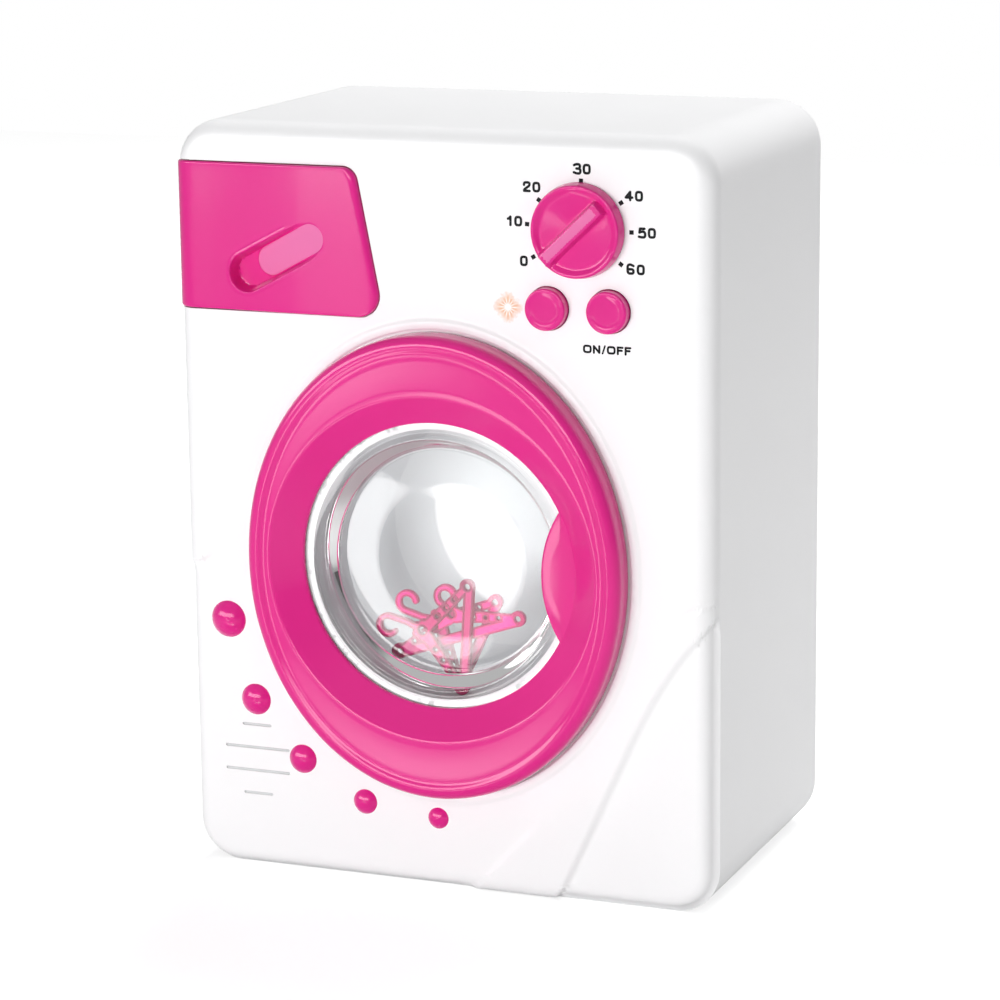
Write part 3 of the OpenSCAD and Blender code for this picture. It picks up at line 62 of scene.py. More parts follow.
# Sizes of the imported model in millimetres: X to the right, Y to the back, Z up
W, H = 184.0, 250.0  # width and height of the case
FRONT, PART = -59.0, -52.0  # its front face, and where its halves part
CORNER, FILLET, WALL = 15.0, 6.5, 2.4  # radius of its corners and of its front edge, and its thickness
PANEL = FRONT + 1.0  # face of the sunk lower left
PRINT = FRONT - 0.03  # face of the printed marks
DOOR, DOOR_A, DOOR_B = np.array([-0.5, 109.5]), 64.5, 76.0  # middle and half axes of the door
CREST, BAND, LIP, FLANGE, BACK = -69.0, -68.2, -61.8, -60.6, -59.4  # steps of its ring from front to back
DIAL, BUTTON_X, BUTTON_Z, BURST = np.array([48.0, 220.0]), (37.4, 57.8), 195.0, (24.0, 194.7)
GRILLE, SLOT_PITCH, SLOTS = np.array([-67.7, 37.7]), 7.9, (9.6, 22.4, 22.4, 9.6)
DRAWER_LOW, DRAWER_HIGH = np.array([-18.6, 189.0]), np.array([-27.9, 236.8])  # ends of the drawer's slanted side

# Light: the camera's place, the cards seen in the lens, ring and drawer, the floor's glow and the world, in metres
EYE = (0.4350, -1.0857, 0.3793)
LENS_ROUND = (0.0300, 0.1277, 0.0353)  # middle and radius of the bright round card
LENS_LINE = (0.0887, 0.0277)  # height and slope of the line below which the lens shows no card
LENS_LIGHT = (2.1, 4.2)  # its dim and bright strengths
RING_LIGHT, DRAWER_LIGHT, FLOOR_GLOW = 5.6, 1.9, 0.62
WORLD, STRIP = (0.42, 0.18, 0.10, -0.10), 8.0  # level and slopes along X, Y and Z; strength of the front strip


# ---------------- materials
def new_material(name):
    """An empty material with its tree and output."""
    m = bpy.data.materials.new(name)
    m.use_nodes = True
    t = m.node_tree
    t.nodes.clear()
    out = t.nodes.new("ShaderNodeOutputMaterial")
    return m, t, out


def node(t, kind, links=(), **values):
    """A node with its links, and with settings or inputs given by name, _ standing for a space."""
    n = t.nodes.new(kind)
    for k, v in values.items():
        if hasattr(n, k):
            setattr(n, k, v)
        else:
            n.inputs[k.replace("_", " ")].default_value = v
    for name, socket in dict(links).items():
        t.links.new(socket, n.inputs[name])
    return n


def mix_colour(t, factor, a, b):
    """Mix of two colours, each a tuple or a socket."""
    n = t.nodes.new("ShaderNodeMix")
    n.data_type = "RGBA"
    for i, v in ((6, a), (7, b)):
        if isinstance(v, tuple):
            n.inputs[i].default_value = (*v, 1)
        else:
            t.links.new(v, n.inputs[i])
    t.links.new(factor, n.inputs[0])
    return n.outputs[2]


def spread(t, value, low, high, out_low=0.0, out_high=1.0):
    """A value from low to high spread over out_low to out_high, and level beyond."""
    n = t.nodes.new("ShaderNodeMapRange")
    t.links.new(value, n.inputs[0])
    for i, v in enumerate((low, high, out_low, out_high)):
        n.inputs[i + 1].default_value = v
    return n.outputs[0]


def maths(kind, *values):
    """A math node over terms and numbers."""
    tree = next(v.tree for v in values if isinstance(v, Term))
    n = node(tree, "ShaderNodeMath", operation=kind)
    for socket, v in zip(n.inputs, values):
        if isinstance(v, Term):
            tree.links.new(v.socket, socket)
        else:
            socket.default_value = v
    return Term(tree, n.outputs[0])


class Term:
    """A value in a shader tree that can be reckoned with."""
    def __init__(self, tree, socket):
        self.tree, self.socket = tree, socket

    __add__ = lambda a, b: maths("ADD", a, b)
    __sub__ = lambda a, b: maths("SUBTRACT", a, b)
    __mul__ = lambda a, b: maths("MULTIPLY", a, b)
    __truediv__ = lambda a, b: maths("DIVIDE", a, b)
    __pow__ = lambda a, b: maths("POWER", a, b)

    def spread(self, *limits):
        return Term(self.tree, spread(self.tree, self.socket, *limits))


def axes(t, source):
    """The three coordinates of the shaded point."""
    place = node(t, "ShaderNodeTexCoord").outputs[source]
    return [Term(t, v) for v in node(t, "ShaderNodeSeparateXYZ", {0: place}).outputs]


def length(x, z):
    return maths("SQRT", x * x + z * z)


def lin(r, g, b):
    """Linear colour from a screen colour of 0 to 255."""
    def one(c):
        c /= 255.0
        return c / 12.92 if c <= 0.04045 else ((c + 0.055) / 1.055) ** 2.4
    return (one(r), one(g), one(b))


def plastic(name, colour, second, rough, grain=2500.0, bump=0.01, coat=0.0, metal=0.0, spec=0.5):
    """Moulded plastic or metal: two close shades in slow clouds, roughness in patches and a fine skin."""
    m, t, out = new_material(name)
    place = node(t, "ShaderNodeTexCoord").outputs["Object"]
    clouds = node(t, "ShaderNodeTexNoise", {"Vector": place}, Scale=18.0, Detail=3.0)
    skin = node(t, "ShaderNodeTexNoise", {"Vector": place}, Scale=grain, Detail=2.0)
    patches = node(t, "ShaderNodeTexNoise", {"Vector": place}, Scale=60.0, Detail=4.0)
    base = mix_colour(t, spread(t, clouds.outputs[0], 0.35, 0.65), lin(*colour), lin(*second))
    worn = spread(t, patches.outputs[0], 0.3, 0.7, rough * 0.93, rough * 1.07)
    b = node(t, "ShaderNodeBump", {"Height": skin.outputs[0]}, Strength=bump, Distance=0.0002)
    p = node(t, "ShaderNodeBsdfPrincipled", {"Base Color": base, "Roughness": worn, "Normal": b.outputs[0]},
             Coat_Weight=coat, Coat_Roughness=0.06, Coat_IOR=1.42, Metallic=metal, Specular_IOR_Level=spec)
    t.links.new(p.outputs[0], out.inputs[0])
    return m


WHITE = plastic("white_gloss", (247, 247, 248), (246, 246, 247), 0.35)
PINK = plastic("pink_gloss", (222, 35, 137), (220, 32, 134), 0.3, coat=0.8, spec=0.15)
RING = plastic("ring_gloss", (223, 40, 137), (221, 37, 134), 0.3, coat=0.8, spec=0.15)
# the drawer's ramp: a paler and rougher pink than the drawer, without a coat
RAMP = plastic("ramp_paler_pink", (228, 118, 172), (226, 112, 168), 0.45, spec=0.3)
# painted highlight: a lighter pink for the top of the knob's grip bar, standing for the light on it
BAR_TOP_HIGHLIGHT = plastic("bar_top_painted_highlight", (228, 108, 168), (226, 102, 164), 0.3, coat=0.8, spec=0.15)
HANGER = plastic("hanger_gloss", (232, 34, 142), (229, 30, 138), 0.35, spec=0.05)
DRUM = plastic("drum_white", (236, 237, 238), (234, 235, 236), 0.45, spec=0.05)
# painted shade: the drum's side wall is a darker grey than its back
DRUM_WALL_SHADE = plastic("drum_wall", (226, 227, 229), (224, 225, 227), 0.45, spec=0.05)
# painted shade: a darker pink for the hangers' edges
HANGER_EDGE_SHADE = plastic("hanger_edge_painted_shade", (176, 8, 92), (170, 6, 88), 0.35, spec=0.05)
INNER = plastic("inner_white", (246, 246, 247), (243, 243, 245), 0.4)
CLOTH = plastic("grille_cloth", (214, 215, 216), (202, 203, 204), 0.7, grain=4000.0, bump=0.3)
ACETAL = plastic("gear_white", (240, 238, 230), (234, 232, 224), 0.4)
STEEL = plastic("zinc_steel", (196, 196, 200), (180, 180, 186), 0.3, metal=1.0)
BRASS = plastic("turned_brass", (222, 186, 108), (206, 170, 96), 0.28, metal=1.0)
CAN = plastic("motor_can", (188, 188, 192), (170, 170, 176), 0.35, metal=1.0)
DARK = plastic("dark_plastic", (38, 38, 41), (30, 30, 33), 0.5)
BOARD = plastic("board_green", (28, 96, 60), (22, 84, 52), 0.4)
LAMP = plastic("lamp_lens", (250, 242, 214), (246, 236, 200), 0.2)
CELL = plastic("cell_jacket", (58, 60, 66), (50, 52, 58), 0.35)
LEAD = plastic("wire_jacket", (150, 24, 26), (136, 20, 22), 0.45)
INK = plastic("grey_ink", (24, 25, 27), (20, 21, 23), 0.6, spec=0.15)


def window_material(name, face, rim):
    """Thin clear plastic: it lets light through, darkens at its edges and mirrors softly."""
    m, t, out = new_material(name)
    place = node(t, "ShaderNodeTexCoord").outputs["Object"]
    swirl = node(t, "ShaderNodeTexNoise", {"Vector": place}, Scale=120.0, Detail=3.0)
    b = node(t, "ShaderNodeBump", {"Height": swirl.outputs[0]}, Strength=0.002, Distance=0.0003)
    edge = node(t, "ShaderNodeLayerWeight", Blend=0.35)
    tint = mix_colour(t, spread(t, edge.outputs["Facing"], 0.5, 1.0), face, rim)
    clear = node(t, "ShaderNodeBsdfTransparent", {"Color": tint})
    shine = node(t, "ShaderNodeBsdfAnisotropic", {"Normal": b.outputs[0]}, Roughness=0.01, Color=(1, 1, 1, 1))
    fresnel = node(t, "ShaderNodeFresnel", {"Normal": b.outputs[0]}, IOR=1.5)
    mix = node(t, "ShaderNodeMixShader", {0: fresnel.outputs[0], 1: clear.outputs[0], 2: shine.outputs[0]})
    t.links.new(mix.outputs[0], out.inputs[0])
    return m


CLEAR = window_material("clear_window", lin(252, 253, 253), lin(196, 204, 205))
CLEAR_RIM = window_material("clear_rim", lin(253, 253, 253), lin(222, 227, 228))

BY_NODE = {
    WHITE: "front_shell rear_shell battery_cover",
    INNER: "tub gear_plate motor_clamp drawer_housing door_catch speaker_clamp battery_box window_retainer drum "
           "drawer_tray",
    PINK: "dome_1 dome_2 dome_3 dome_4 dome_5 drawer_front knob button_light button_power",
    RING: "door_frame", CLEAR: "door_window", HANGER: "hanger_1 hanger_2 hanger_3",
    ACETAL: "click_arm drum_gear click_wheel idler_gear",
    STEEL: "tub_screws gearbox_screws idler_pin housing_screws hinge_pin board_screws spring_light spring_power "
           "battery_contacts case_screws retainer_screws drum_axle knob_screw cover_screw",
    BRASS: "bearing_bush motor_pinion", CAN: "motor", DARK: "speaker switches", BOARD: "circuit_board",
    LAMP: "lamp", CELL: "batteries", LEAD: "wiring",
}
for material, names in BY_NODE.items():
    for name in names.split():
        o = frame["nodes"][name]
        o.data.materials.clear()
        o.data.materials.append(material)


# ---------------- mesh tools
def make(name, verts, faces, material, body, replaces=(), smooth=35.0, face_materials=None):
    """A mesh piece from points in millimetres, riding on a body."""
    mesh = bpy.data.meshes.new(name)
    mesh.from_pydata([tuple(float(c) * 0.001 for c in v) for v in verts], [], [tuple(map(int, f)) for f in faces])
    mesh.validate()
    for m in material if isinstance(material, (list, tuple)) else [material]:
        mesh.materials.append(m)
    if face_materials is not None:
        mesh.polygons.foreach_set("material_index", np.asarray(face_materials, np.int32))
    mesh.shade_smooth()
    mesh.set_sharp_from_angle(angle=math.radians(smooth))
    o = bpy.data.objects.new(name, mesh)
    scene.collection.objects.link(o)
    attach(o, body)
    for n in replaces:
        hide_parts(n)
    return o


def loft(rows, closed_u=True, closed_v=False):
    """Quads between rows of points of equal length."""
    n, k = len(rows[0]), len(rows)
    verts = np.concatenate([np.asarray(r, float) for r in rows])
    faces = []
    for j in range(k if closed_v else k - 1):
        a, b = j * n, ((j + 1) % k) * n
        for i in range(n if closed_u else n - 1):
            i2 = (i + 1) % n
            faces.append((a + i, a + i2, b + i2, b + i))
    return verts, faces


def full_turn(n):
    return np.linspace(0, 2 * math.pi, n, endpoint=False)


def ring_at(centre, r, t, y):
    """Points at the angles t and the radius or radii r about a centre, at depth y."""
    return np.stack([centre[0] + r * np.cos(t), np.full(len(t), y), centre[1] + r * np.sin(t)], 1)


def spun(profile, centre, n=96):
    """Points (radius, depth) turned about an axis along Y."""
    return [ring_at(centre, r, full_turn(n), y) for r, y in profile]


def curve(a, b, c, d, n=24):
    """Bezier curve from a to d."""
    t = np.linspace(0, 1, n)[:, None]
    a, b, c, d = (np.array(p, float) for p in (a, b, c, d))
    return (1 - t) ** 3 * a + 3 * t * (1 - t) ** 2 * b + 3 * t * t * (1 - t) * c + t ** 3 * d


def polyline_distance(p, line):
    """Signed distance of points to a polyline, positive on its left, and the place along it from 0 to 1."""
    best = np.full(len(p), 1e9)
    side = np.zeros(len(p))
    along = np.zeros(len(p))
    lengths = np.linalg.norm(np.diff(line, axis=0), axis=1)
    start = np.concatenate([[0], np.cumsum(lengths)])
    for i in range(len(line) - 1):
        a, d = line[i], line[i + 1] - line[i]
        t = np.clip(((p - a) @ d) / (d @ d), 0, 1)
        off = p - (a + t[:, None] * d)
        dist = np.hypot(off[:, 0], off[:, 1])
        cross = d[0] * (p[:, 1] - a[1]) - d[1] * (p[:, 0] - a[0])
        near = dist < best - 1e-9
        best = np.where(near, dist, best)
        side = np.where(near, np.sign(cross), side)
        along = np.where(near, (start[i] + t * lengths[i]) / start[-1], along)
    return best * side, along


def step(x, low, high):
    """0 at low and before it, 1 at high and beyond, smooth between; low may be the greater."""
    t = np.clip((x - low) / (high - low), 0, 1)
    return t * t * (3 - 2 * t)


# ---------------- front of the case
def unfold(p, dig):
    """Points of the flat pattern brought to the case's front, dig deeper along the normal, and how far they lie beyond
    the flat front. The pattern bends over the edge fillet."""
    p = np.asarray(p, float)
    core = np.stack([np.clip(p[:, 0], CORNER - W / 2, W / 2 - CORNER), np.clip(p[:, 1], CORNER, H - CORNER)], 1)
    v = p - core
    r = np.hypot(v[:, 0], v[:, 1])
    n = v / np.maximum(r, 1e-9)[:, None]
    q = r - (CORNER - FILLET)
    turn = np.clip(q / FILLET, 0, math.pi / 2)
    flat = q <= 0
    base = core + n * (CORNER - FILLET)
    xz = np.where(flat[:, None], p, base + n * (FILLET * np.sin(turn))[:, None])
    y = np.where(flat, FRONT, FRONT + FILLET * (1 - np.cos(turn)) + np.maximum(0, q - FILLET * math.pi / 2))
    side = np.where(flat, 0, np.sin(turn))
    normal = np.stack([n[:, 0] * side, -np.where(flat, 1, np.cos(turn)), n[:, 1] * side], 1)
    return np.stack([xz[:, 0], y, xz[:, 1]], 1) - normal * np.asarray(dig).reshape(-1, 1), q


def heading(a):
    return np.array([math.cos(a), math.sin(a)])


def beyond(p):
    """How far points of the pattern lie beyond the flat front, negative inside it."""
    return unfold(p, 0.0)[1]


def filled(pts, spacing, closed=True):
    """A line's points with more set between them, about spacing apart."""
    out = []
    for a, b in zip(pts, list(pts[1:]) + ([pts[0]] if closed else [])):
        k = max(1, int(np.linalg.norm(b - a) / spacing))
        out += [a + (b - a) * j / k for j in range(k)]
    return np.array(out if closed else out + [pts[-1]])


def round_rect_loop(q, n_corner=40, spacing=2.0):
    """Loop of the flat pattern q millimetres beyond the flat front."""
    r = CORNER - FILLET + q
    pts = []
    for cx, cz, a0 in ((1, 1, 0), (-1, 1, 90), (-1, -1, 180), (1, -1, 270)):
        c = np.array([cx * (W / 2 - CORNER), H - CORNER if cz > 0 else CORNER])
        for k in range(n_corner + 1):
            pts.append(c + r * heading(math.radians(a0 + 90 * k / n_corner)))
    return filled(pts, spacing)


# End of the pattern at the parting line, and the lines of the relief: the step at the lower right, the crease of the
# lower left, its upper end and the dent at the right
Q_END = FILLET * math.pi / 2 + (PART - FRONT - FILLET)
S_CURVE = np.concatenate([
    curve((103, 101), (98, 98.6), (95, 97.5), (92.5, 96.6), 8)[:-1],
    curve((92.5, 96.6), (81.6, 89), (71, 69.5), (63.8, 54.5))[:-1],
    curve((63.8, 54.5), (57.2, 39.5), (47, 17.5), (35.8, -6))])
CREASE = curve((48, 40), (33, 27), (19.5, 13.5), (4.5, -6), 40)
LEFT_STEP = curve((-104, 101.8), (-86, 101.6), (-75, 107.5), (-72.6, 119), 30)
CRESCENT = np.array([[77.0, 95.2], [79.5, 97.9], [82.6, 100.1], [86.9, 102.1], [90.8, 102.9], [96.5, 103.2],
                     [103, 103.2]])


def door_oval(g, t):
    """X and Z at the angles t on the door's oval grown by g."""
    return DOOR[0] + (DOOR_A + g) * np.cos(t), DOOR[1] + (DOOR_B + g) * np.sin(t)


def oval_growth(p):
    """How far points lie outside the door's oval, near it."""
    d = p - DOOR
    f = np.sqrt((d[:, 0] / DOOR_A) ** 2 + (d[:, 1] / DOOR_B) ** 2)
    g = np.sqrt((d[:, 0] / DOOR_A ** 2) ** 2 + (d[:, 1] / DOOR_B ** 2) ** 2) / np.maximum(f, 1e-6)
    return (f - 1) / np.maximum(g, 1e-6)


def relief(p, q):
    """Depth of the front below its upper panel, and how far the points lie outside the door's oval."""
    s, _ = polyline_distance(p, S_CURVE)
    right = 1.7 * step(s, -1.3, 1.3)
    c, along = polyline_distance(p, CREASE)
    left = step(-c, -0.8, 1.0 + 26 * step(along, 0.42, 0.0))
    l, l_along = polyline_distance(p, LEFT_STEP)
    upper = step(l, -0.6, 0.9 + 14 * step(l_along, 0.45, 1.0))
    near_door = step(p[:, 0], -79, -71)
    above = (1 - near_door) * np.where(p[:, 1] > 90, 1 - upper, 1) + near_door * (1 - step(p[:, 1], 99, 122))
    left = np.where(p[:, 0] < 0, 1.0, left)
    low_zone = (p[:, 1] < 60) | (p[:, 0] < -55)
    left = np.where(low_zone, left, 0) * above * np.where(p[:, 0] < 20, 1, 1 - step(p[:, 1], 40, 52))
    g, g_along = polyline_distance(p, CRESCENT)
    dent = 0.5 * np.exp(-(g / 0.9) ** 2) * step(g_along, 0.0, 0.35)
    # the relief runs out before the parting line
    depth = np.maximum(right, left) * (1 - step(q, 8.8, 10.6)) + dent * (1 - step(q, 7.0, 10.0))
    # raised lip round the door
    oval = oval_growth(p)
    lip = step(oval, 0.5, 1.2) * (1 - step(oval, 2.7, 4.9))
    return depth - 0.8 * lip, oval


def drawer_loop(g, rounding=10):
    """Drawer outline in the flat pattern, grown by g, from its top left round the right side to its bottom left."""
    low, high = DRAWER_LOW[1] - g, DRAWER_HIGH[1] + g
    across, up = DRAWER_HIGH - DRAWER_LOW
    grow = g / math.sin(math.atan2(up, -across))
    a = np.array([DRAWER_LOW[0] + grow, low])
    b = np.array([DRAWER_HIGH[0] + grow, high])

    def rounded(corner, before, after, r):
        u = (before - corner) / np.linalg.norm(before - corner)
        v = (after - corner) / np.linalg.norm(after - corner)
        half = math.acos(float(u @ v)) / 2
        c = corner + (u + v) / np.linalg.norm(u + v) * r / math.sin(half)
        p0, p1 = corner + u * r / math.tan(half), corner + v * r / math.tan(half)
        a0, a1 = math.atan2(*(p0 - c)[::-1]), math.atan2(*(p1 - c)[::-1])
        turn = (a1 - a0 + math.pi) % (2 * math.pi) - math.pi
        return [c + r * heading(a0 + turn * k / rounding) for k in range(rounding + 1)]
    left = -W / 2 - 9  # beyond the end of the pattern
    top_left, low_left = np.array([left, high]), np.array([left, low])
    pts = [top_left] + rounded(b, top_left, a, 5 + g) + rounded(a, b, low_left, 7 + g) + [low_left]
    return filled(pts, 1.2, closed=False)


def circle_loop(c, r, n=64):
    t = full_turn(n)
    return np.stack([c[0] + r * np.cos(t), c[1] + r * np.sin(t)], 1)


def stadium_loop(a, b, r, n=24, spacing=1.0):
    """Loop at the distance r round the line from a to b."""
    a, b = np.array(a, float), np.array(b, float)
    t0 = math.atan2(*(b - a)[::-1])
    pts = [c + r * heading(t0 + t) for c, start in ((b, -0.5), (a, 0.5))
           for t in np.linspace(start * math.pi, (start + 1) * math.pi, n)]
    return filled(pts, spacing)


def inside(p, loop):
    """Which points lie inside a closed loop."""
    x, y = p[:, 0], p[:, 1]
    hit = np.zeros(len(p), bool)
    for (x0, y0), (x1, y1) in zip(loop, np.roll(loop, -1, axis=0)):
        cross = (y0 > y) != (y1 > y)
        if y1 != y0:
            hit ^= cross & (x < (x1 - x0) * (y - y0) / (y1 - y0) + x0)
    return hit


def triangles(verts, edges, keep, near, least):
    """Constrained triangles whose middle passes keep(), all turned one way, and the points that they use.
    Points nearer than near are joined, and triangles up to half of least are dropped."""
    co, _, faces, *_ = delaunay_2d_cdt([Vector(v) for v in verts], edges, [], 0, near)
    co = np.array([tuple(v) for v in co])
    faces = np.array([f for f in faces if len(f) == 3])
    faces = faces[keep(co[faces].mean(1))]
    d1, d2 = co[faces[:, 1]] - co[faces[:, 0]], co[faces[:, 2]] - co[faces[:, 0]]
    area = d1[:, 0] * d2[:, 1] - d1[:, 1] * d2[:, 0]
    faces[area < 0] = faces[area < 0][:, ::-1]
    faces = faces[np.abs(area) > least]
    used = np.unique(faces)
    index = np.full(len(co), -1)
    index[used] = np.arange(len(used))
    return co[used], index[faces]


def triangulate(loops, points, keep):
    """Triangles over loops, closed or not, and loose points, kept where their middle passes keep()."""
    verts, edges = [], []
    for loop, closed in loops:
        start, n = len(verts), len(loop)
        verts += [tuple(p) for p in loop]
        edges += [(start + i, start + (i + 1) % n) for i in range(n if closed else n - 1)]
    return triangles(verts + [tuple(p) for p in points], edges, keep, 1e-5, 1e-9)


def thicken(outer, inner, faces):
    """Closed solid between two layers of the same triangles."""
    n = len(outer)
    count = {}
    for f in faces:
        for i in range(3):
            count[(f[i], f[(i + 1) % 3])] = 1
    rim = [e for e in count if (e[1], e[0]) not in count]
    out = [tuple(f) for f in faces] + [(f[2] + n, f[1] + n, f[0] + n) for f in faces]
    out += [(b, a, a + n, b + n) for a, b in rim]
    return np.concatenate([outer, inner]), out


def hex_grid(x0, x1, z0, z1, d):
    """Points in staggered rows, d apart."""
    rows, k, z = [], 0, z0
    while z < z1:
        xs = np.arange(x0 + (d / 2 if k % 2 else 0), x1, d)
        rows.append(np.stack([xs, np.full(len(xs), z)], 1))
        z += d * 0.866
        k += 1
    return np.concatenate(rows)


def slot_loops(r):
    """Outlines of the grille's slots, r wide to each side."""
    loops = []
    for i, l in enumerate(SLOTS):
        middle = GRILLE + [0, (i - 1.5) * SLOT_PITCH]
        loops.append(stadium_loop(middle - [l / 2, 0], middle + [l / 2, 0], r, 8))
    return loops


def front_shell():
    """Front half of the case, from its flat pattern with the openings cut and the relief pressed in."""
    edge = round_rect_loop(Q_END)
    drawer = drawer_loop(0.35)
    low, high = DOOR[1] - 6.3, DOOR[1] + 6.3
    latch = np.array([[56.7, low], [59.8, low], [59.8, high], [56.7, high]])
    holes = [circle_loop(DOOR, 52.5, 128), circle_loop(DIAL, 3.06, 24)]
    holes += [circle_loop((x, BUTTON_Z), 7.1, 48) for x in BUTTON_X] + [latch] + slot_loops(0.5)
    fine = [(round_rect_loop(q), True) for q in (0, 1.3, 2.6, 3.9, 5.2, 6.5, 7.8, 9.0)]
    ovals = [(np.stack(door_oval(g, full_turn(220)), 1), True)
             for g in (0.3, 0.55, 0.8, 1.05, 1.3, 3.1, 3.5, 3.9, 4.3, 4.7)]
    grid = hex_grid(-88, 88, 3, 247, 2.6)
    grid = grid[beyond(grid) < -0.8]
    # closer points along the lines of the relief
    dense = hex_grid(-104, 104, -12, 125, 0.75)
    s, c, l, g = (np.abs(polyline_distance(dense, line)[0]) for line in (S_CURVE, CREASE, LEFT_STEP, CRESCENT))
    near = (s < 2.6) | ((c < 3.0) & (dense[:, 1] < 42)) | (l < 2.6) | (g < 2.4)
    dense = dense[near & (beyond(dense) < Q_END - 0.3)]

    def keep(mid):
        ok = inside(mid, edge) & ~inside(mid, drawer)
        for h in holes:
            ok &= ~inside(mid, h)
        return ok
    co, faces = triangulate([(edge, True), (drawer, False)] + [(h, True) for h in holes] + fine + ovals,
                            np.concatenate([grid, dense]), keep)
    depth, oval = relief(co, beyond(co))
    depth = np.where(oval < 0.0, np.minimum(depth, 1.0), depth)
    outer, _ = unfold(co, depth)
    inner, _ = unfold(co, np.full(len(co), WALL))
    verts, faces = thicken(outer, inner, faces)
    make("front_case", verts, faces, WHITE, "case", ["front_shell"], 40)


front_shell()


def prisms(pairs):
    """Closed prisms between pairs of outlines."""
    verts, faces = [], []
    for near, far in pairs:
        k, n = len(verts), len(near)
        verts += near + far
        faces += [tuple(k + j for j in range(n)), tuple(k + n + j for j in reversed(range(n)))]
        faces += [(k + j, k + n + j, k + n + (j + 1) % n, k + (j + 1) % n) for j in range(n)]
    return verts, faces


def grille_cloth():
    """Pale cloth that closes the grille's slots from behind."""
    verts, faces = prisms([[[(x, y, z) for x, z in loop] for y in (PANEL + 0.55, PANEL + 0.95)]
                           for loop in slot_loops(0.56)])
    make("grille_cloth", verts, faces, CLOTH, "case")


grille_cloth()


def ears():
    """Two ears of the case that hold the hinge pin."""
    hx, hy, r = -62.0, -63.5, 2.5
    outline = [(hx + r * math.cos(a), hy + r * math.sin(a)) for a in np.linspace(math.pi, 2 * math.pi, 17)]
    outline += [(hx + r, FRONT + 1.2), (hx - r, FRONT + 1.2)]
    verts, faces = prisms([[[(x, y, DOOR[1] + side * 14 + half) for x, y in outline] for half in (-2, 2)]
                           for side in (-1, 1)])
    make("hinge_ears", verts, [f[::-1] for f in faces], WHITE, "case")


ears()


# ---------------- door
def door_frame():
    """Pink ring: oval outside, round inside, with a funnel between them."""
    t = full_turn(288)
    polar = np.arctan2(DOOR_B * np.sin(t), DOOR_A * np.cos(t))

    def oval(g, y):
        x, z = door_oval(g, t)
        return np.stack([x, np.full(len(t), y), z], 1)

    def ring(r, y):
        return ring_at(DOOR, r, polar, y)
    rows = [oval(-2.2, BACK), oval(-0.35, BACK), oval(-0.1, BACK - 0.1), oval(0, BACK - 0.4)]
    rows += [oval(0, -62.5), oval(0, CREST + 3.5)]
    for a in range(10, 91, 8):
        c, s = math.cos(math.radians(a)), math.sin(math.radians(a))
        rows.append(oval(3.5 * (c - 1), CREST + 3.5 * (1 - s)))
    rows += [oval(g, CREST + y) for g, y in ((-3.9, 0.02), (-4.4, 0.16), (-4.9, 0.42), (-5.4, 0.64))]
    rows += [oval(-5.9, BAND - 0.04), oval(-6.4, BAND)]
    a, b = oval(-6.4, BAND), ring(57.0, BAND)
    rows += [a + (b - a) * k / 6 for k in range(1, 6)]
    rows += [ring(r, BAND + y) for r, y in ((57.0, 0), (56.5, 0.06), (56.1, 0.24), (55.7, 0.5))]
    rows += [ring(55.7 + (47.7 - 55.7) * k / 6, BAND + 0.5 + (LIP - 0.45 - BAND - 0.5) * k / 6) for k in range(1, 7)]
    rows += [ring(47.3, LIP - 0.22), ring(47.02, LIP + 0.06), ring(46.9, LIP + 0.4), ring(46.9, FLANGE),
             ring(50.6, FLANGE), ring(53.6, -63.6), ring(56.6, -65.8)]
    rows += [oval(-4.4, CREST + 2.9), oval(-2.6, CREST + 4.2), oval(-2.2, -62.5)]
    verts, faces = loft(rows, closed_v=True)
    make("door_ring", verts, [f[::-1] for f in faces], RING, "door", ["door_frame"], 50)


door_frame()


def pull_tab():
    """Tongue over the window's right side, with a soft front edge."""
    arc_r, rim = 39.3, 47.6  # radii of its left side and of its right side, which lies in the ring
    arc_c = 46.9 - 11 + arc_r
    x = (rim * rim - arc_r * arc_r + arc_c * arc_c) / (2 * arc_c)
    z = math.sqrt(rim * rim - x * x)
    a0 = math.atan2(z, x - arc_c)
    left = [np.array([arc_c, 0]) + arc_r * heading(a) for a in np.linspace(a0, 2 * math.pi - a0, 49)]
    b0 = math.atan2(-z, x)
    right = [rim * heading(a) for a in np.linspace(b0, -b0, 41)][1:-1]
    loop = np.array(left + right)
    rows = []
    middle = DOOR[0] + 41.5
    levels = [(0.0, FLANGE), (0.0, LIP + 0.1), (0.12, LIP - 0.2), (0.35, LIP - 0.36), (0.7, LIP - 0.4)]
    n = len(loop)
    for inset, y in levels:
        d = loop - np.array([arc_c, 0])
        r = np.hypot(d[:, 0], d[:, 1])
        move = np.where(np.arange(n) < len(left), (r - inset) / r, 1)
        pts = np.array([arc_c, 0]) + d * move[:, None]
        rows.append(np.stack([DOOR[0] + pts[:, 0], np.full(n, y), DOOR[1] + pts[:, 1]], 1))
    top, last = np.array([middle, LIP - 0.4, DOOR[1]]), rows[-1]
    rows += [last + (top - last) * k for k in (0.5, 0.8)]
    verts, faces = loft(rows)
    k, end = (len(rows) - 1) * n, len(verts)
    verts = np.concatenate([verts, [top, [middle, FLANGE, DOOR[1]]]])
    faces += [(k + i, k + (i + 1) % n, end) for i in range(n)]
    faces += [((i + 1) % n, i, end + 1) for i in range(n)]
    make("door_pull", verts, faces, RING, "door", smooth=50)


pull_tab()


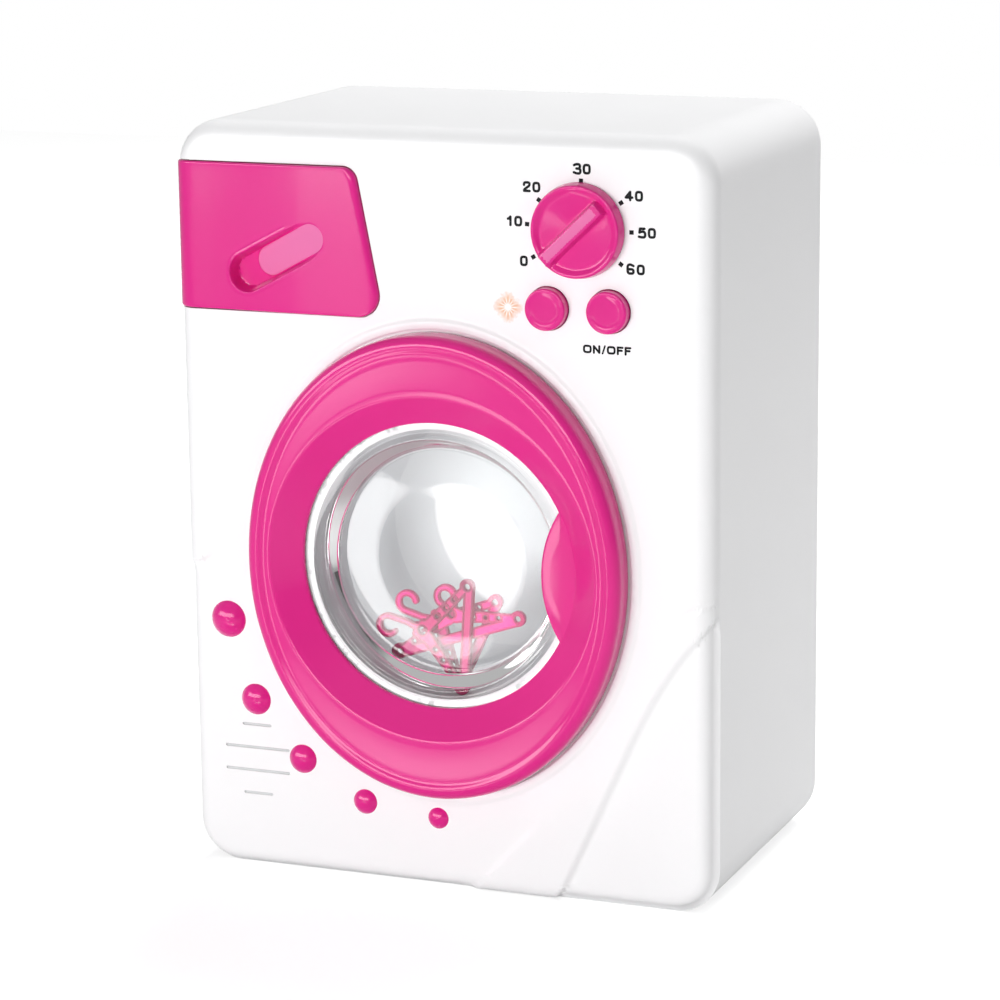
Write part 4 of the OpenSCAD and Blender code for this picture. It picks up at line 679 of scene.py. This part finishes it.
def door_window():
    """Clear bowl with a flat middle; its wall and flange are a little paler."""
    n, f, deep = 128, FLANGE, FLANGE + 9
    profile = [(50.0, f), (50.0, f + 1.4), (45.6, f + 1.4), (43.6, f + 1.45), (42.8, f + 1.8), (42.3, f + 2.6),
               (40.3, deep - 1.0), (39.6, deep + 0.3), (38.7, deep + 1.2), (37.6, deep + 1.75), (36.8, deep + 1.9),
               (20, deep + 1.9), (0.01, deep + 1.9), (0.01, deep + 0.7), (20, deep + 0.7), (36.2, deep + 0.7),
               (36.9, deep + 0.55), (37.6, deep + 0.1), (38.2, deep - 0.9), (39.0, deep - 2.8), (40.8, f + 0.6),
               (41.2, f + 0.2), (41.8, f)]
    verts, faces = loft(spun(profile, DOOR, n), closed_v=True)
    far = [min(profile[j][0], profile[(j + 1) % len(profile)][0]) for j in range(len(profile))]
    rim = [int(far[face[0] // n] > 36.5) for face in faces]
    make("window_bowl", verts, faces, [CLEAR, CLEAR_RIM], "door", ["door_window"], 50, rim)


door_window()


def drum():
    """Smooth drum with three low, soft ribs and a small boss in its back; its side wall is a darker grey, painted
    shade.
    """
    n, y0, y1, r0, r1 = 192, FRONT + 5.2, 2.0, 46.05, 46.9
    t = full_turn(n)
    rib = np.max([np.exp(-((np.degrees(t) - a + 180) % 360 - 180) ** 2 / 30) for a in (30, 150, 270)], axis=0)

    def loop(r, y, lift=0.0):
        return ring_at(DOOR, r - 1.6 * lift * rib, t, y)
    rows = [loop(r1, y1 - 1.2), loop(r1, y0 + 0.4), loop(46.5, y0), loop(r0, y0 + 0.4), loop(r0, y0 + 4)]
    rows += [loop(r0, y0 + 4 + k, step(k, 0, 8)) for k in (2, 4, 6, 8)]
    bend = ((0, 12, 1), (0.2, 8, 1), (1.2, 4.6, 0.9), (2.6, 2.7, 0.6), (4.6, 1.6, 0.2))
    rows += [loop(r0 - r, y1 - y, lift) for r, y, lift in bend]
    rows += [loop(r, y1 - y) for r, y in ((38, 1.1), (20, 1.0), (8, 1.0), (6.5, 1.3), (4, 1.9), (0.01, 2.1))]
    verts, faces = loft(rows)
    back = [loop(0.01, y1), loop(20, y1), loop(45.8, y1)]
    v2, f2 = loft(back)
    k = len(verts)
    faces = faces + [tuple(i + k for i in f) for f in f2]
    faces += [(k + 2 * n + i, k + 2 * n + (i + 1) % n, (i + 1) % n, i) for i in range(n)]
    depth = np.concatenate([verts, v2])[:, 1]
    # painted shade: faces of the side wall take the darker grey
    wall = [int(max(depth[i] for i in f) < y1 - 1.3) for f in faces]
    make("drum_shell", np.concatenate([verts, v2]), faces, [DRUM, DRUM_WALL_SHADE], "drum_unit", ["drum"], smooth=50,
         face_materials=wall)


drum()


# ---------------- hangers
def segment_distance(p, a, b):
    """Distance of points to the line from a to b."""
    a, b = np.array(a, float), np.array(b, float)
    d = b - a
    t = np.clip(((p - a) @ d) / max(d @ d, 1e-9), 0, 1)
    return np.hypot(*(p - (a + t[:, None] * d)).T)


def arc_distance(p, points):
    """Distance of points to a line through several points."""
    return np.min([segment_distance(p, points[i], points[i + 1]) for i in range(len(points) - 1)], axis=0)


def hanger_field(p, half, neck, stem, flip):
    """Distance outside the hanger's outline, negative inside it."""
    hook = 3.1
    parts = [segment_distance(p, (-half, 0), (half, 0)) - 1.75]
    holes = []
    for s in (-1, 1):
        a, b = np.array([s * half, 0.7]), np.array([s * 0.8, neck - 0.8])
        t = np.clip(((p - a) @ (b - a)) / ((b - a) @ (b - a)), 0, 1)
        parts.append(np.hypot(*(p - a - t[:, None] * (b - a)).T) - 1.45 - 0.9 * t ** 1.5)
        parts.append(np.hypot(*(p - a).T) - 2.6)
        holes += [(a, 1.1)] + [(a + (b - a) * k, 0.8) for k in (0.3, 0.5, 0.7)]
    q = p - np.array([0, neck])
    parts.append(np.hypot(*q.T) - 3.5 - 0.4 * np.cos(6 * np.arctan2(q[:, 1], q[:, 0])))
    top = neck + stem
    rod = [(flip * 0.6, neck + 2), (flip * 2.0, neck + 0.45 * stem), (flip * hook, top)]
    bend = [(flip * hook * math.cos(a), top + hook * math.sin(a)) for a in np.linspace(0, math.radians(232), 20)]
    parts += [arc_distance(p, line) - 1.05 for line in (rod, bend)]
    d = np.min(parts, axis=0)
    for c, r in holes:
        d = np.maximum(d, r - np.hypot(*(p - c).T))
    return np.maximum(d, 1.35 - np.hypot(*q.T))


def contours(field, box, h, level):
    """Short segments of the field's contour at a level, by marching squares with linear steps."""
    x0, x1, z0, z1 = box
    xs, zs = np.arange(x0, x1, h), np.arange(z0, z1, h)
    gx, gz = np.meshgrid(xs, zs)
    v = field(np.stack([gx.ravel(), gz.ravel()], 1)).reshape(gx.shape) - level
    v = np.where(np.abs(v) < 1e-6, 1e-6, v)
    segments = []
    for j in range(len(zs) - 1):
        near = [v[j, :-1], v[j, 1:], v[j + 1, :-1], v[j + 1, 1:]]
        for i in np.nonzero((np.min(near, 0) < 0) & (np.max(near, 0) > 0))[0]:
            c = [(xs[i], zs[j], v[j, i]), (xs[i + 1], zs[j], v[j, i + 1]), (xs[i + 1], zs[j + 1], v[j + 1, i + 1]),
                 (xs[i], zs[j + 1], v[j + 1, i])]
            cuts = []
            for k in range(4):
                a, b = c[k], c[(k + 1) % 4]
                if (a[2] < 0) != (b[2] < 0):
                    if (b[0], b[1]) < (a[0], a[1]):
                        a, b = b, a
                    t = a[2] / (a[2] - b[2])
                    cuts.append((a[0] + t * (b[0] - a[0]), a[1] + t * (b[1] - a[1])))
            for k in range(0, len(cuts) - 1, 2):
                segments.append((cuts[k], cuts[k + 1]))
    return segments


def plate(field, box, h, levels):
    """Triangles inside a field's outline, with the contour at each level as edges."""
    verts, edges, index = [], [], {}

    def vert(p):
        key = (round(p[0], 5), round(p[1], 5))
        if key not in index:
            index[key] = len(verts)
            verts.append(key)
        return index[key]
    for level in levels:
        for a, b in contours(field, box, h, level):
            i, j = vert(a), vert(b)
            if i != j:
                edges.append((i, j))
    return triangles(verts, edges, lambda mid: field(mid) < levels[0] + 0.001, 1e-6, 1e-7)


# Place from the door's middle, turn, half length, height of the flower, reach of the hook and its side
HANGERS = [(4.4, -26.3, 86, 17.0, 15.6, 12.2, 1), (0.8, -27.0, 18.9, 22.2, 8.0, 6.0, 1),
           (6.9, -29.1, 65, 15.5, 15.6, 12.2, -1)]
for i, (dx, dz, turn, *sizes) in enumerate(HANGERS):
    co, flat = plate(lambda p: hanger_field(p, *sizes), (-26, 26, -4, 34), 0.42, (0.0, -0.12, -0.62, -0.72))
    field = hanger_field(co, *sizes)
    front, a = -48.7 + i * 2.2, math.radians(turn)
    rise = np.interp(field, [-0.72, -0.62, -0.12, 0.0], [0.35, 0.0, 0.0, 0.15])
    x = DOOR[0] + dx + co[:, 0] * math.cos(a) - co[:, 1] * math.sin(a)
    z = DOOR[1] + dz + co[:, 0] * math.sin(a) + co[:, 1] * math.cos(a)
    verts, faces = thicken(np.stack([x, front + rise, z], 1), np.stack([x, front + 1.8 - rise, z], 1), flat)
    # painted shade: the rim of both faces and the sides take a darker pink that stands for the shade at the edges
    which = list((field[flat].mean(1) > -0.66).astype(int)) * 2
    which += [1] * (len(faces) - len(which))
    make(f"hanger_{i + 1}_piece", verts, faces, [HANGER, HANGER_EDGE_SHADE], "drum_unit", [f"hanger_{i + 1}"],
         40, which)


# ---------------- domes, knob, buttons
def dome(i, c, r):
    """Stud i: a low ball cap of radius r."""
    rise = r * 0.5
    ball = (r * r + rise * rise) / (2 * rise)
    top = math.asin(r / ball)
    profile = [(0.01, PANEL + 0.6), (r, PANEL + 0.6), (r, PANEL)]
    profile += [(ball * math.sin(a), PANEL - rise + ball * (1 - math.cos(a))) for a in np.linspace(top, 0.002, 14)[1:]]
    verts, faces = loft(spun(profile, c, 64))
    make(f"stud_{i}", verts, faces, PINK, "case", [f"dome_{i}"], 50)


for i, (x, z, r) in enumerate([(-77, 85, 6.2), (-67.7, 58.3, 5.3), (-51.1, 39.4, 4.9), (-28.8, 27, 4.2),
                               (-2.8, 24.1, 3.6)]):
    dome(i + 1, (x, z), r)


def knob():
    """Knob: a disc with a sharp crest round a dished face, and a grip bar that reaches the rim at one end."""
    face, n = -63.8, 128
    grid = hex_grid(-14.0, 14.0, -14.0, 14.0, 0.42)
    rings = [(circle_loop((0, 0), r, n), True) for r in (14.0, 13.7, 13.3, 12.9, 12.4, 11.9)]
    co, faces = triangulate(rings, grid[np.hypot(*grid.T) < 11.6], lambda m: np.hypot(*m.T) < 14.0)
    a = math.radians(43.5)
    u = co[:, 0] * math.cos(a) + co[:, 1] * math.sin(a)
    v = -co[:, 0] * math.sin(a) + co[:, 1] * math.cos(a)
    rr = np.hypot(*co.T)
    dish = 1.0 * (1 - step(rr, 11.7, 13.9)) - 0.35 * (1 - rr / 12) * (rr < 12)
    across = 1 - step(np.abs(v), 1.9, 3.0)
    along = 1 - step(u, 11.0, 12.6)
    bar = across * along * step(u, -14.2, -13.8)
    y = face + dish - bar * (dish + 1.45)
    verts = [np.stack([DIAL[0] + co[:, 0], y, DIAL[1] + co[:, 1]], 1)]
    before, base = [int(np.argmin(np.hypot(*(co - p).T))) for p in rings[0][0]], len(co)
    rows = [(14.25, face + 0.08), (14.45, face + 0.3), (14.55, face + 0.6), (14.9, -60.6), (15.0, -60.2),
            (15.05, -59.5), (14.9, -59.3), (3.0, -59.3), (3.0, -49.3), (0.01, -49.3)]
    mid_u, mid_v = u[faces].mean(1), v[faces].mean(1)
    # painted highlight: faces along the top of the grip bar take the lighter pink
    light = list(((np.abs(mid_v - 0.3) < 1.45) & (mid_u < 9.6) & (mid_u > -12.6)).astype(int))
    faces = [tuple(f) for f in faces]
    for ring in spun(rows, DIAL, n):
        verts.append(ring)
        now = list(range(base, base + n))
        faces += [(before[i], now[i], now[(i + 1) % n], before[(i + 1) % n]) for i in range(n)]
        before, base = now, base + n
    light += [0] * (len(faces) - len(light))
    make("dial_knob", np.concatenate(verts), faces, [PINK, BAR_TOP_HIGHLIGHT], "dial", ["knob"], 32, light)


knob()


def button(name, x, body, node_name):
    """Button with a low ring on its face, and a collar and stem behind."""
    face = -62.4
    profile = [(0.01, face + 0.16), (2, face + 0.16), (3.6, face + 0.15), (4.7, face + 0.13), (5.1, face + 0.05),
               (5.4, face), (5.75, face)]
    profile += [(5.95 + 0.75 * math.sin(b), face + 0.75 * (1 - math.cos(b))) for b in np.linspace(0.15, math.pi / 2, 6)]
    profile += [(6.8, -56.4), (8.2, -56.3), (8.2, -55.1), (2.0, -55.1), (2.0, -48.5), (0.01, -48.4)]
    verts, faces = loft(spun(profile, (x, BUTTON_Z), 72))
    make(name, verts, [f[::-1] for f in faces], PINK, body, [node_name], 50)


button("light_button", BUTTON_X[0], "light_switch", "button_light")
button("on_off_button", BUTTON_X[1], "power_switch", "button_power")


def return_spring(node_name, wire=0.35, coils=4.5):
    """A button's return spring: wound wire over the length of its part's box, closer wound at its ends, riding on the
    case.
    """
    low, high = (np.array(v) * 1000 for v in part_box(node_name))
    x, z, length = (low[0] + high[0]) / 2, (low[2] + high[2]) / 2, high[1] - low[1]
    t = np.linspace(0, 1, 180)
    y = low[1] + wire + (length - 2 * wire) * np.interp(t, [0, 0.2, 0.8, 1], [0, 0.12, 0.88, 1])
    a = 2 * math.pi * coils * t
    out = np.stack([np.cos(a), 0 * a, np.sin(a)], 1)
    centre = np.stack([0 * a + x, y, 0 * a + z], 1) + out * ((high[0] - low[0]) / 2 - wire)
    rows = []
    for i, thick in [(0, 0.01)] + [(i, wire) for i in range(len(t))] + [(len(t) - 1, 0.01)]:
        b = full_turn(10)
        rows.append(centre[i] + thick * (np.cos(b)[:, None] * out[i] + np.sin(b)[:, None] * np.array([0, 1, 0])))
    verts, faces = loft(rows)
    o = make(node_name + "_coil", verts, faces, STEEL, "case", [node_name], 60)
    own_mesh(o)


return_spring("spring_light")
return_spring("spring_power")


# ---------------- drawer front
def drawer_front():
    """Front of the drawer, bent over the case's edge, with the sunk grip and the paler ramp that rises out of it."""
    grip_a, turn = np.array([-66.0, 201.5]), math.radians(27.7)
    u = heading(turn)
    grip_b, ramp_a, ramp_b = (grip_a + k * u for k in (22.6, 8.4, 25.6))
    outline = drawer_loop(0.0)
    loops = [(drawer_loop(-d), False) for d in (0.08, 0.2, 0.38, 0.6, 0.9, 1.3, 1.7, 2.05, 2.35, 2.65, 3.0, 3.4)]
    edge = round_rect_loop(Q_END - 0.05)
    for a, b, radii in ((grip_a, grip_b, (6.95, 6.7, 6.5, 6.4, 6.25, 6.1, 5.9)),
                        (ramp_a, ramp_b, (5.35, 5.15, 5.0, 4.85, 4.6))):
        loops += [(stadium_loop(a, b, r, 28, 0.8), True) for r in radii]
    grid = hex_grid(-106, -18, 188, 238, 1.5)
    close = hex_grid(-76, -32, 191, 222, 0.6)
    close = close[segment_distance(close, grip_a, ramp_b) < 8.2]
    grid = grid[segment_distance(grid, grip_a, ramp_b) > 8.4]
    grid = grid[(beyond(grid) < Q_END - 0.5) & inside(grid, drawer_loop(-3.8))]
    co, faces = triangulate([(outline, False), (edge, True)] + loops, np.concatenate([grid, close]),
                            lambda m: inside(m, outline) & inside(m, edge))
    d_edge, _ = polyline_distance(co, outline[1:-1])
    slant = DRAWER_HIGH - DRAWER_LOW
    d_right = np.abs((co - DRAWER_LOW) @ np.array([slant[1], -slant[0]])) / np.linalg.norm(slant)
    # the edge is rounder along the slanted side
    radius = 0.7 + (2.3 - 0.7) * (1 - step(d_right - np.abs(d_edge), 0.0, 3.0))
    soft = np.clip(np.abs(d_edge) / radius, 0, 1)
    proud = 0.6 + 1.2 * step(co[:, 0], -80, -45)
    height = proud - np.minimum(radius, 1.7) * (1 - np.sqrt(1 - (1 - soft) ** 2))
    g = segment_distance(co, grip_a, grip_b)
    along = (co - grip_a) @ u
    floor = np.interp(along, [-2, 4, 20, 27], [-4.6, -4.4, -2.0, -0.6])
    sunk = 1 - step(g, 4.9, 6.5)
    lip = 0.16 * np.exp(-((g - 6.75) / 0.3) ** 2)
    ramp_h = np.interp((co - ramp_a) @ u, [-5, 2, 21.5], [-3.7, -2.7, 0.0])
    on_ramp = 1 - step(segment_distance(co, ramp_a, ramp_b), 4.6, 5.35)
    depth = sunk * floor * (1 - on_ramp) + on_ramp * ramp_h
    height = height + depth + lip * (1 - on_ramp) * (along < 20)
    outer, _ = unfold(co, -height)
    inner, _ = unfold(co, WALL - np.minimum(height, 0))
    # the ramp's faces take the paler pink
    ramp_faces = list((segment_distance(co[faces].mean(1), ramp_a, ramp_b) < 4.86).astype(int))
    verts, faces = thicken(outer, inner, faces)
    ramp_faces += [0] * (len(faces) - len(ramp_faces))
    make("drawer_face", verts, faces, [PINK, RAMP], "drawer", ["drawer_front"], 32, ramp_faces)


drawer_front()


# ---------------- printed marks
# Width and strokes of each character, in hundredths of its height. A line keeps its corners, a soft stroke has them
# cut, and a loop is soft and closed.
GLYPHS = {
    "0": (80, "loop 40,90 14,86 10,50 14,14 40,10 66,14 70,50 66,86"),
    "1": (56, "line 10,70 22,74 36,90 36,10"),
    "2": (78, "soft 12,68 14,90 40,92 68,90 68,62 40,42 14,24 12,10; line 12,10 68,10"),
    "3": (78, "soft 10,84 30,94 70,94 68,52 34,52; soft 34,52 74,52 74,6 34,6 8,16"),
    "4": (82, "line 54,10 54,88 10,34 74,34"),
    "5": (80, "line 66,90 22,90 16,53; soft 16,53 34,62 72,62 74,8 34,8 10,13"),
    "6": (84, "soft 70,84 40,98 12,90 11,50 12,28; loop 42,10 66,12 72,30 66,50 42,52 18,50 12,30 18,12"),
    "O": (112, "loop 56,90 16,88 10,50 16,12 56,10 96,12 102,50 96,88"),
    "N": (104, "line 14,8 14,90 86,10 86,92"),
    "F": (86, "line 14,8 14,90 76,90; line 14,52 66,52"),
    "/": (50, "line 8,2 40,98"),
}


def stroke_points(stroke):
    """Points of one stroke; soft ones and loops have their corners cut three times."""
    kind, *pts = stroke.split()
    pts = [np.array(p.split(","), float) / 100 for p in pts]
    for _ in range(0 if kind == "line" else 3):
        closed = pts + [pts[0]] if kind == "loop" else pts
        cut = [q for p0, p1 in zip(closed, closed[1:]) for q in (p0 * 0.75 + p1 * 0.25, p0 * 0.25 + p1 * 0.75)]
        pts = cut if kind == "loop" else [pts[0]] + cut + [pts[-1]]
    return pts + [pts[0]] if kind == "loop" else pts


def print_word(name, word, x, z, size, half=0.125, gap=0.2):
    """Bold printed word, size high, with its middle at x, z."""
    total = sum(GLYPHS[c][0] / 100 for c in word) + gap * (len(word) - 1)
    left, verts, faces = -total / 2, [], []
    for c in word:
        width, lines = GLYPHS[c][0] / 100, [stroke_points(stroke) for stroke in GLYPHS[c][1].split("; ")]
        bold = half * 0.8 if c == "/" else half
        co, tri = plate(lambda p: np.min([arc_distance(p, l) for l in lines], axis=0) - bold,
                        (-0.2, width + 0.2, -0.2, 1.2), 0.035, (0.0,))
        k = len(verts)
        verts += [(x + (left + u) * size, PRINT, z + (v - 0.5) * size) for u, v in co]
        faces += [tuple(i + k for i in f) for f in tri]
        left += width + gap
    make(name, verts, faces, INK, "case")


for word, x, z in (("0", 29.5, 209.6), ("10", 26.5, 222.0), ("20", 32.3, 232.9), ("30", 49.0, 239.1),
                   ("40", 66.0, 231.4), ("50", 70.2, 220.1), ("60", 66.5, 208.6)):
    print_word("number_" + word, word, x, z, 3.25)
print_word("word_on_off", "ON/OFF", 57.0, 182.9, 2.5, 0.14, 0.17)
verts = []
for p in ((32.7, 211.0), (30.7, 221.2), (34.7, 228.9), (48.7, 235.4), (61.8, 229.1), (65.2, 220.1), (61.7, 210.0)):
    a = math.atan2(p[1] - DIAL[1], p[0] - DIAL[0])
    u, v = heading(a) * 0.72, np.array([-math.sin(a), math.cos(a)]) * 0.68
    corners = [p + u * su + v * sv for su, sv in ((-1, -1), (1, -1), (1, 1), (-1, 1))]
    verts += [(x, PRINT, z) for x, z in corners]
make("dial_ticks", verts, [tuple(range(i, i + 4)) for i in range(0, len(verts), 4)], INK, "case")


def sunburst():
    """Small printed burst of light beside the light button: a pale orange glow with a white heart and rays."""
    m, t, out = new_material("sunburst_ink")
    x, _, z = axes(t, "Object")
    x, z = x - BURST[0] / 1000, z - BURST[1] / 1000
    r, angle = length(x, z), maths("ARCTAN2", z, x)

    def petals(k, sharp):
        return maths("ABSOLUTE", maths("COSINE", angle * k)) ** sharp
    place = node(t, "ShaderNodeTexCoord").outputs["Object"]
    ragged = Term(t, node(t, "ShaderNodeTexNoise", {"Vector": place}, Scale=900.0, Detail=2.0).outputs[0])
    reach = petals(2.0, 2.0) * 0.0010 + (ragged * 0.0030 + 0.0016)
    heart = r.spread(0.0009, 0.0017, 1.0, 0.0)
    ray = petals(7.0, 3.0) * (r / reach).spread(0.5, 1.1, 1.0, 0.0)
    fade = (r / (reach + 0.0006)).spread(0.6, 1.15)
    glow = mix_colour(t, fade.socket, lin(232, 186, 152), lin(247, 247, 248))
    colour = mix_colour(t, maths("MAXIMUM", heart, ray).socket, glow, lin(250, 249, 247))
    p = node(t, "ShaderNodeBsdfPrincipled", {"Base Color": colour}, Roughness=0.3)
    t.links.new(p.outputs[0], out.inputs[0])
    verts = [(x, PRINT, z) for x, z in circle_loop(BURST, 5.0, 48)]
    make("sunburst_mark", verts, [tuple(range(48))], m, "case")


sunburst()


# ---------------- camera, floor and light
def camera():
    """Camera fitted to the photograph: angles in degrees, focal length in pixels of 1000, the rest in millimetres."""
    az, el, roll = (math.radians(a) for a in (21.983, 12.566, -0.650))
    focal, distance, shift_x, shift_z, middle, sensor = 3572.3, 1196.95, -3.027, -6.240, np.array([0, 0, H / 2]), 36
    back = np.array([math.sin(az) * math.cos(el), -math.cos(az) * math.cos(el), math.sin(el)])
    right = np.array([math.cos(az), math.sin(az), 0])
    up = np.cross(back, right)
    rolled_right = math.cos(roll) * right + math.sin(roll) * up
    rolled_up = -math.sin(roll) * right + math.cos(roll) * up
    place = (middle + back * distance + right * shift_x + up * shift_z) * 0.001
    cam = bpy.data.cameras.new("camera")
    cam.sensor_width, cam.lens = sensor, focal * sensor / 1000
    cam.clip_start, cam.clip_end = 0.05, 50
    o = bpy.data.objects.new("camera", cam)
    turn = Matrix(np.stack([rolled_right, rolled_up, back], 1).tolist()).to_4x4()
    o.matrix_world = Matrix.Translation(Vector(place)) @ turn
    scene.collection.objects.link(o)
    scene.camera = o


camera()


def ray_kind(t, *kinds):
    """1 for rays of any of the kinds, else 0."""
    path = node(t, "ShaderNodeLightPath")
    value = Term(t, path.outputs[kinds[0]])
    for k in kinds[1:]:
        value = maths("MAXIMUM", value, Term(t, path.outputs[k]))
    return value


def mirrored_point(t, depth):
    """Where the camera sees a floor point in a flat mirror at y = depth: the place across and the height there."""
    x, y, _ = axes(t, "Object")
    back = 2 * depth - EYE[1]
    s = maths("DIVIDE", depth - back, y - back)
    return s * (x - EYE[0]) + EYE[0], maths("SUBTRACT", 1.0, s) * EYE[2]


def reflected_cards(t):
    """Strength of soft cards that lie on the floor in front of the object and show in its gloss only."""
    door_x, door_z = (float(v) / 1000 for v in DOOR)
    x, z = mirrored_point(t, -0.068)
    oval = length((x - door_x) / (DOOR_A / 1000), (z - door_z) / (DOOR_B / 1000))
    band = oval.spread(0.74, 0.84) * oval.spread(0.95, 1.03, 1.0, 0.0)
    high = z.spread(0.125, 0.175) * x.spread(0.024, -0.024)
    ring = band * maths("MAXIMUM", z.spread(0.080, 0.040), high)
    x, z = mirrored_point(t, -0.060)
    drawer = z.spread(0.183, 0.190) * z.spread(0.237, 0.243, 1.0, 0.0)
    drawer *= x.spread(-0.018, -0.024) * x.spread(-0.085, -0.025, 0.25, 1.0)
    x, z = mirrored_point(t, -0.0509)
    lens = length(x - door_x, z - door_z).spread(0.041, 0.043, 1.0, 0.0)
    round_x, round_z, r = LENS_ROUND
    bright = length(x - round_x, z - round_z).spread(r - 0.0004, r + 0.0004, 1.0, 0.0)
    height, slope = LENS_LINE
    above = (z - x * slope).spread(height - 0.0003, height + 0.0003)
    dim = x.spread(-0.036, 0.000, 0.5, LENS_LIGHT[0])
    glass = lens * above * (bright * LENS_LIGHT[1] + dim)
    return ring * RING_LIGHT + drawer * DRAWER_LIGHT + glass


def floor():
    """White floor that ends behind the object. It glows for the camera, and gloss sees cards on it."""
    m, t, out = new_material("floor_white")
    grain = node(t, "ShaderNodeTexNoise", Scale=40.0)
    base = mix_colour(t, grain.outputs[0], (0.79, 0.79, 0.79), (0.78, 0.78, 0.78))
    diffuse = node(t, "ShaderNodeBsdfDiffuse", {"Color": base})
    seen = ray_kind(t, "Is Camera Ray", "Is Transmission Ray") * FLOOR_GLOW
    mirrored = ray_kind(t, "Is Glossy Ray") * reflected_cards(t)
    glow = node(t, "ShaderNodeEmission", {"Strength": (seen + mirrored).socket})
    add = node(t, "ShaderNodeAddShader", {0: diffuse.outputs[0], 1: glow.outputs[0]})
    t.links.new(add.outputs[0], out.inputs[0])
    side, behind, z = 6.0, 1.8, -0.0002
    mesh = bpy.data.meshes.new("floor")
    mesh.from_pydata([(-side, -side, z), (side, -side, z), (side, behind, z), (-side, behind, z)], [], [(0, 1, 2, 3)])
    mesh.materials.append(m)
    o = bpy.data.objects.new("floor", mesh)
    scene.collection.objects.link(o)


floor()


def world():
    """White to the camera; a soft studio, brighter behind and at the right, with a front strip light for gloss."""
    scene.world = bpy.data.worlds.new("studio")
    scene.world.use_nodes = True
    t = scene.world.node_tree
    t.nodes.clear()
    x, y, z = axes(t, "Generated")
    soft = maths("MAXIMUM", x * WORLD[1] + WORLD[0] + y * WORLD[2] + z * WORLD[3], 0.02)
    turn = x * -0.367 + y * -0.930
    strip = turn.spread(0.70, 0.82) * (z.spread(0.06, 0.12) * z.spread(0.34, 0.42, 1.0, 0.0))
    gloss = strip * STRIP + x.spread(0.30, 0.60, 0.45, 0.1)
    glossy, seen = ray_kind(t, "Is Glossy Ray"), ray_kind(t, "Is Camera Ray", "Is Transmission Ray")
    light = node(t, "ShaderNodeMix", {0: glossy.socket, 2: soft.socket, 3: gloss.socket})
    shown = node(t, "ShaderNodeMix", {0: seen.socket, 2: light.outputs[0]})
    shown.inputs[3].default_value = 1.0
    b = node(t, "ShaderNodeBackground", {1: shown.outputs[0]}, Color=(1, 1, 1, 1))
    node(t, "ShaderNodeOutputWorld", {0: b.outputs[0]})


world()


def area(name, place, target, size, power):
    """Area light that gloss doesn't show."""
    l = bpy.data.lights.new(name, "AREA")
    l.shape = "RECTANGLE"
    l.size, l.size_y = size
    l.energy = power
    o = bpy.data.objects.new(name, l)
    o.location = place
    o.rotation_euler = (Vector(target) - Vector(place)).to_track_quat("-Z", "Y").to_euler()
    scene.collection.objects.link(o)
    o.visible_glossy = False
    return o


area("key_front", (-0.42, -2.0, 0.18), (0, 0, 0.12), (1.1, 0.34), 23.8)
area("top_behind", (0.15, 0.74, 1.40), (0, 0, 0.12), (1.0, 0.6), 19.5)
area("low_fill", (-0.08, -0.34, 0.03), (-0.02, 0, 0.03), (0.4, 0.05), 0.085).visible_camera = False
area("drum_fill", (0.0, -0.047, 0.1095), (0.004, 0, 0.1095), (0.055, 0.055), 0.0075).visible_camera = False
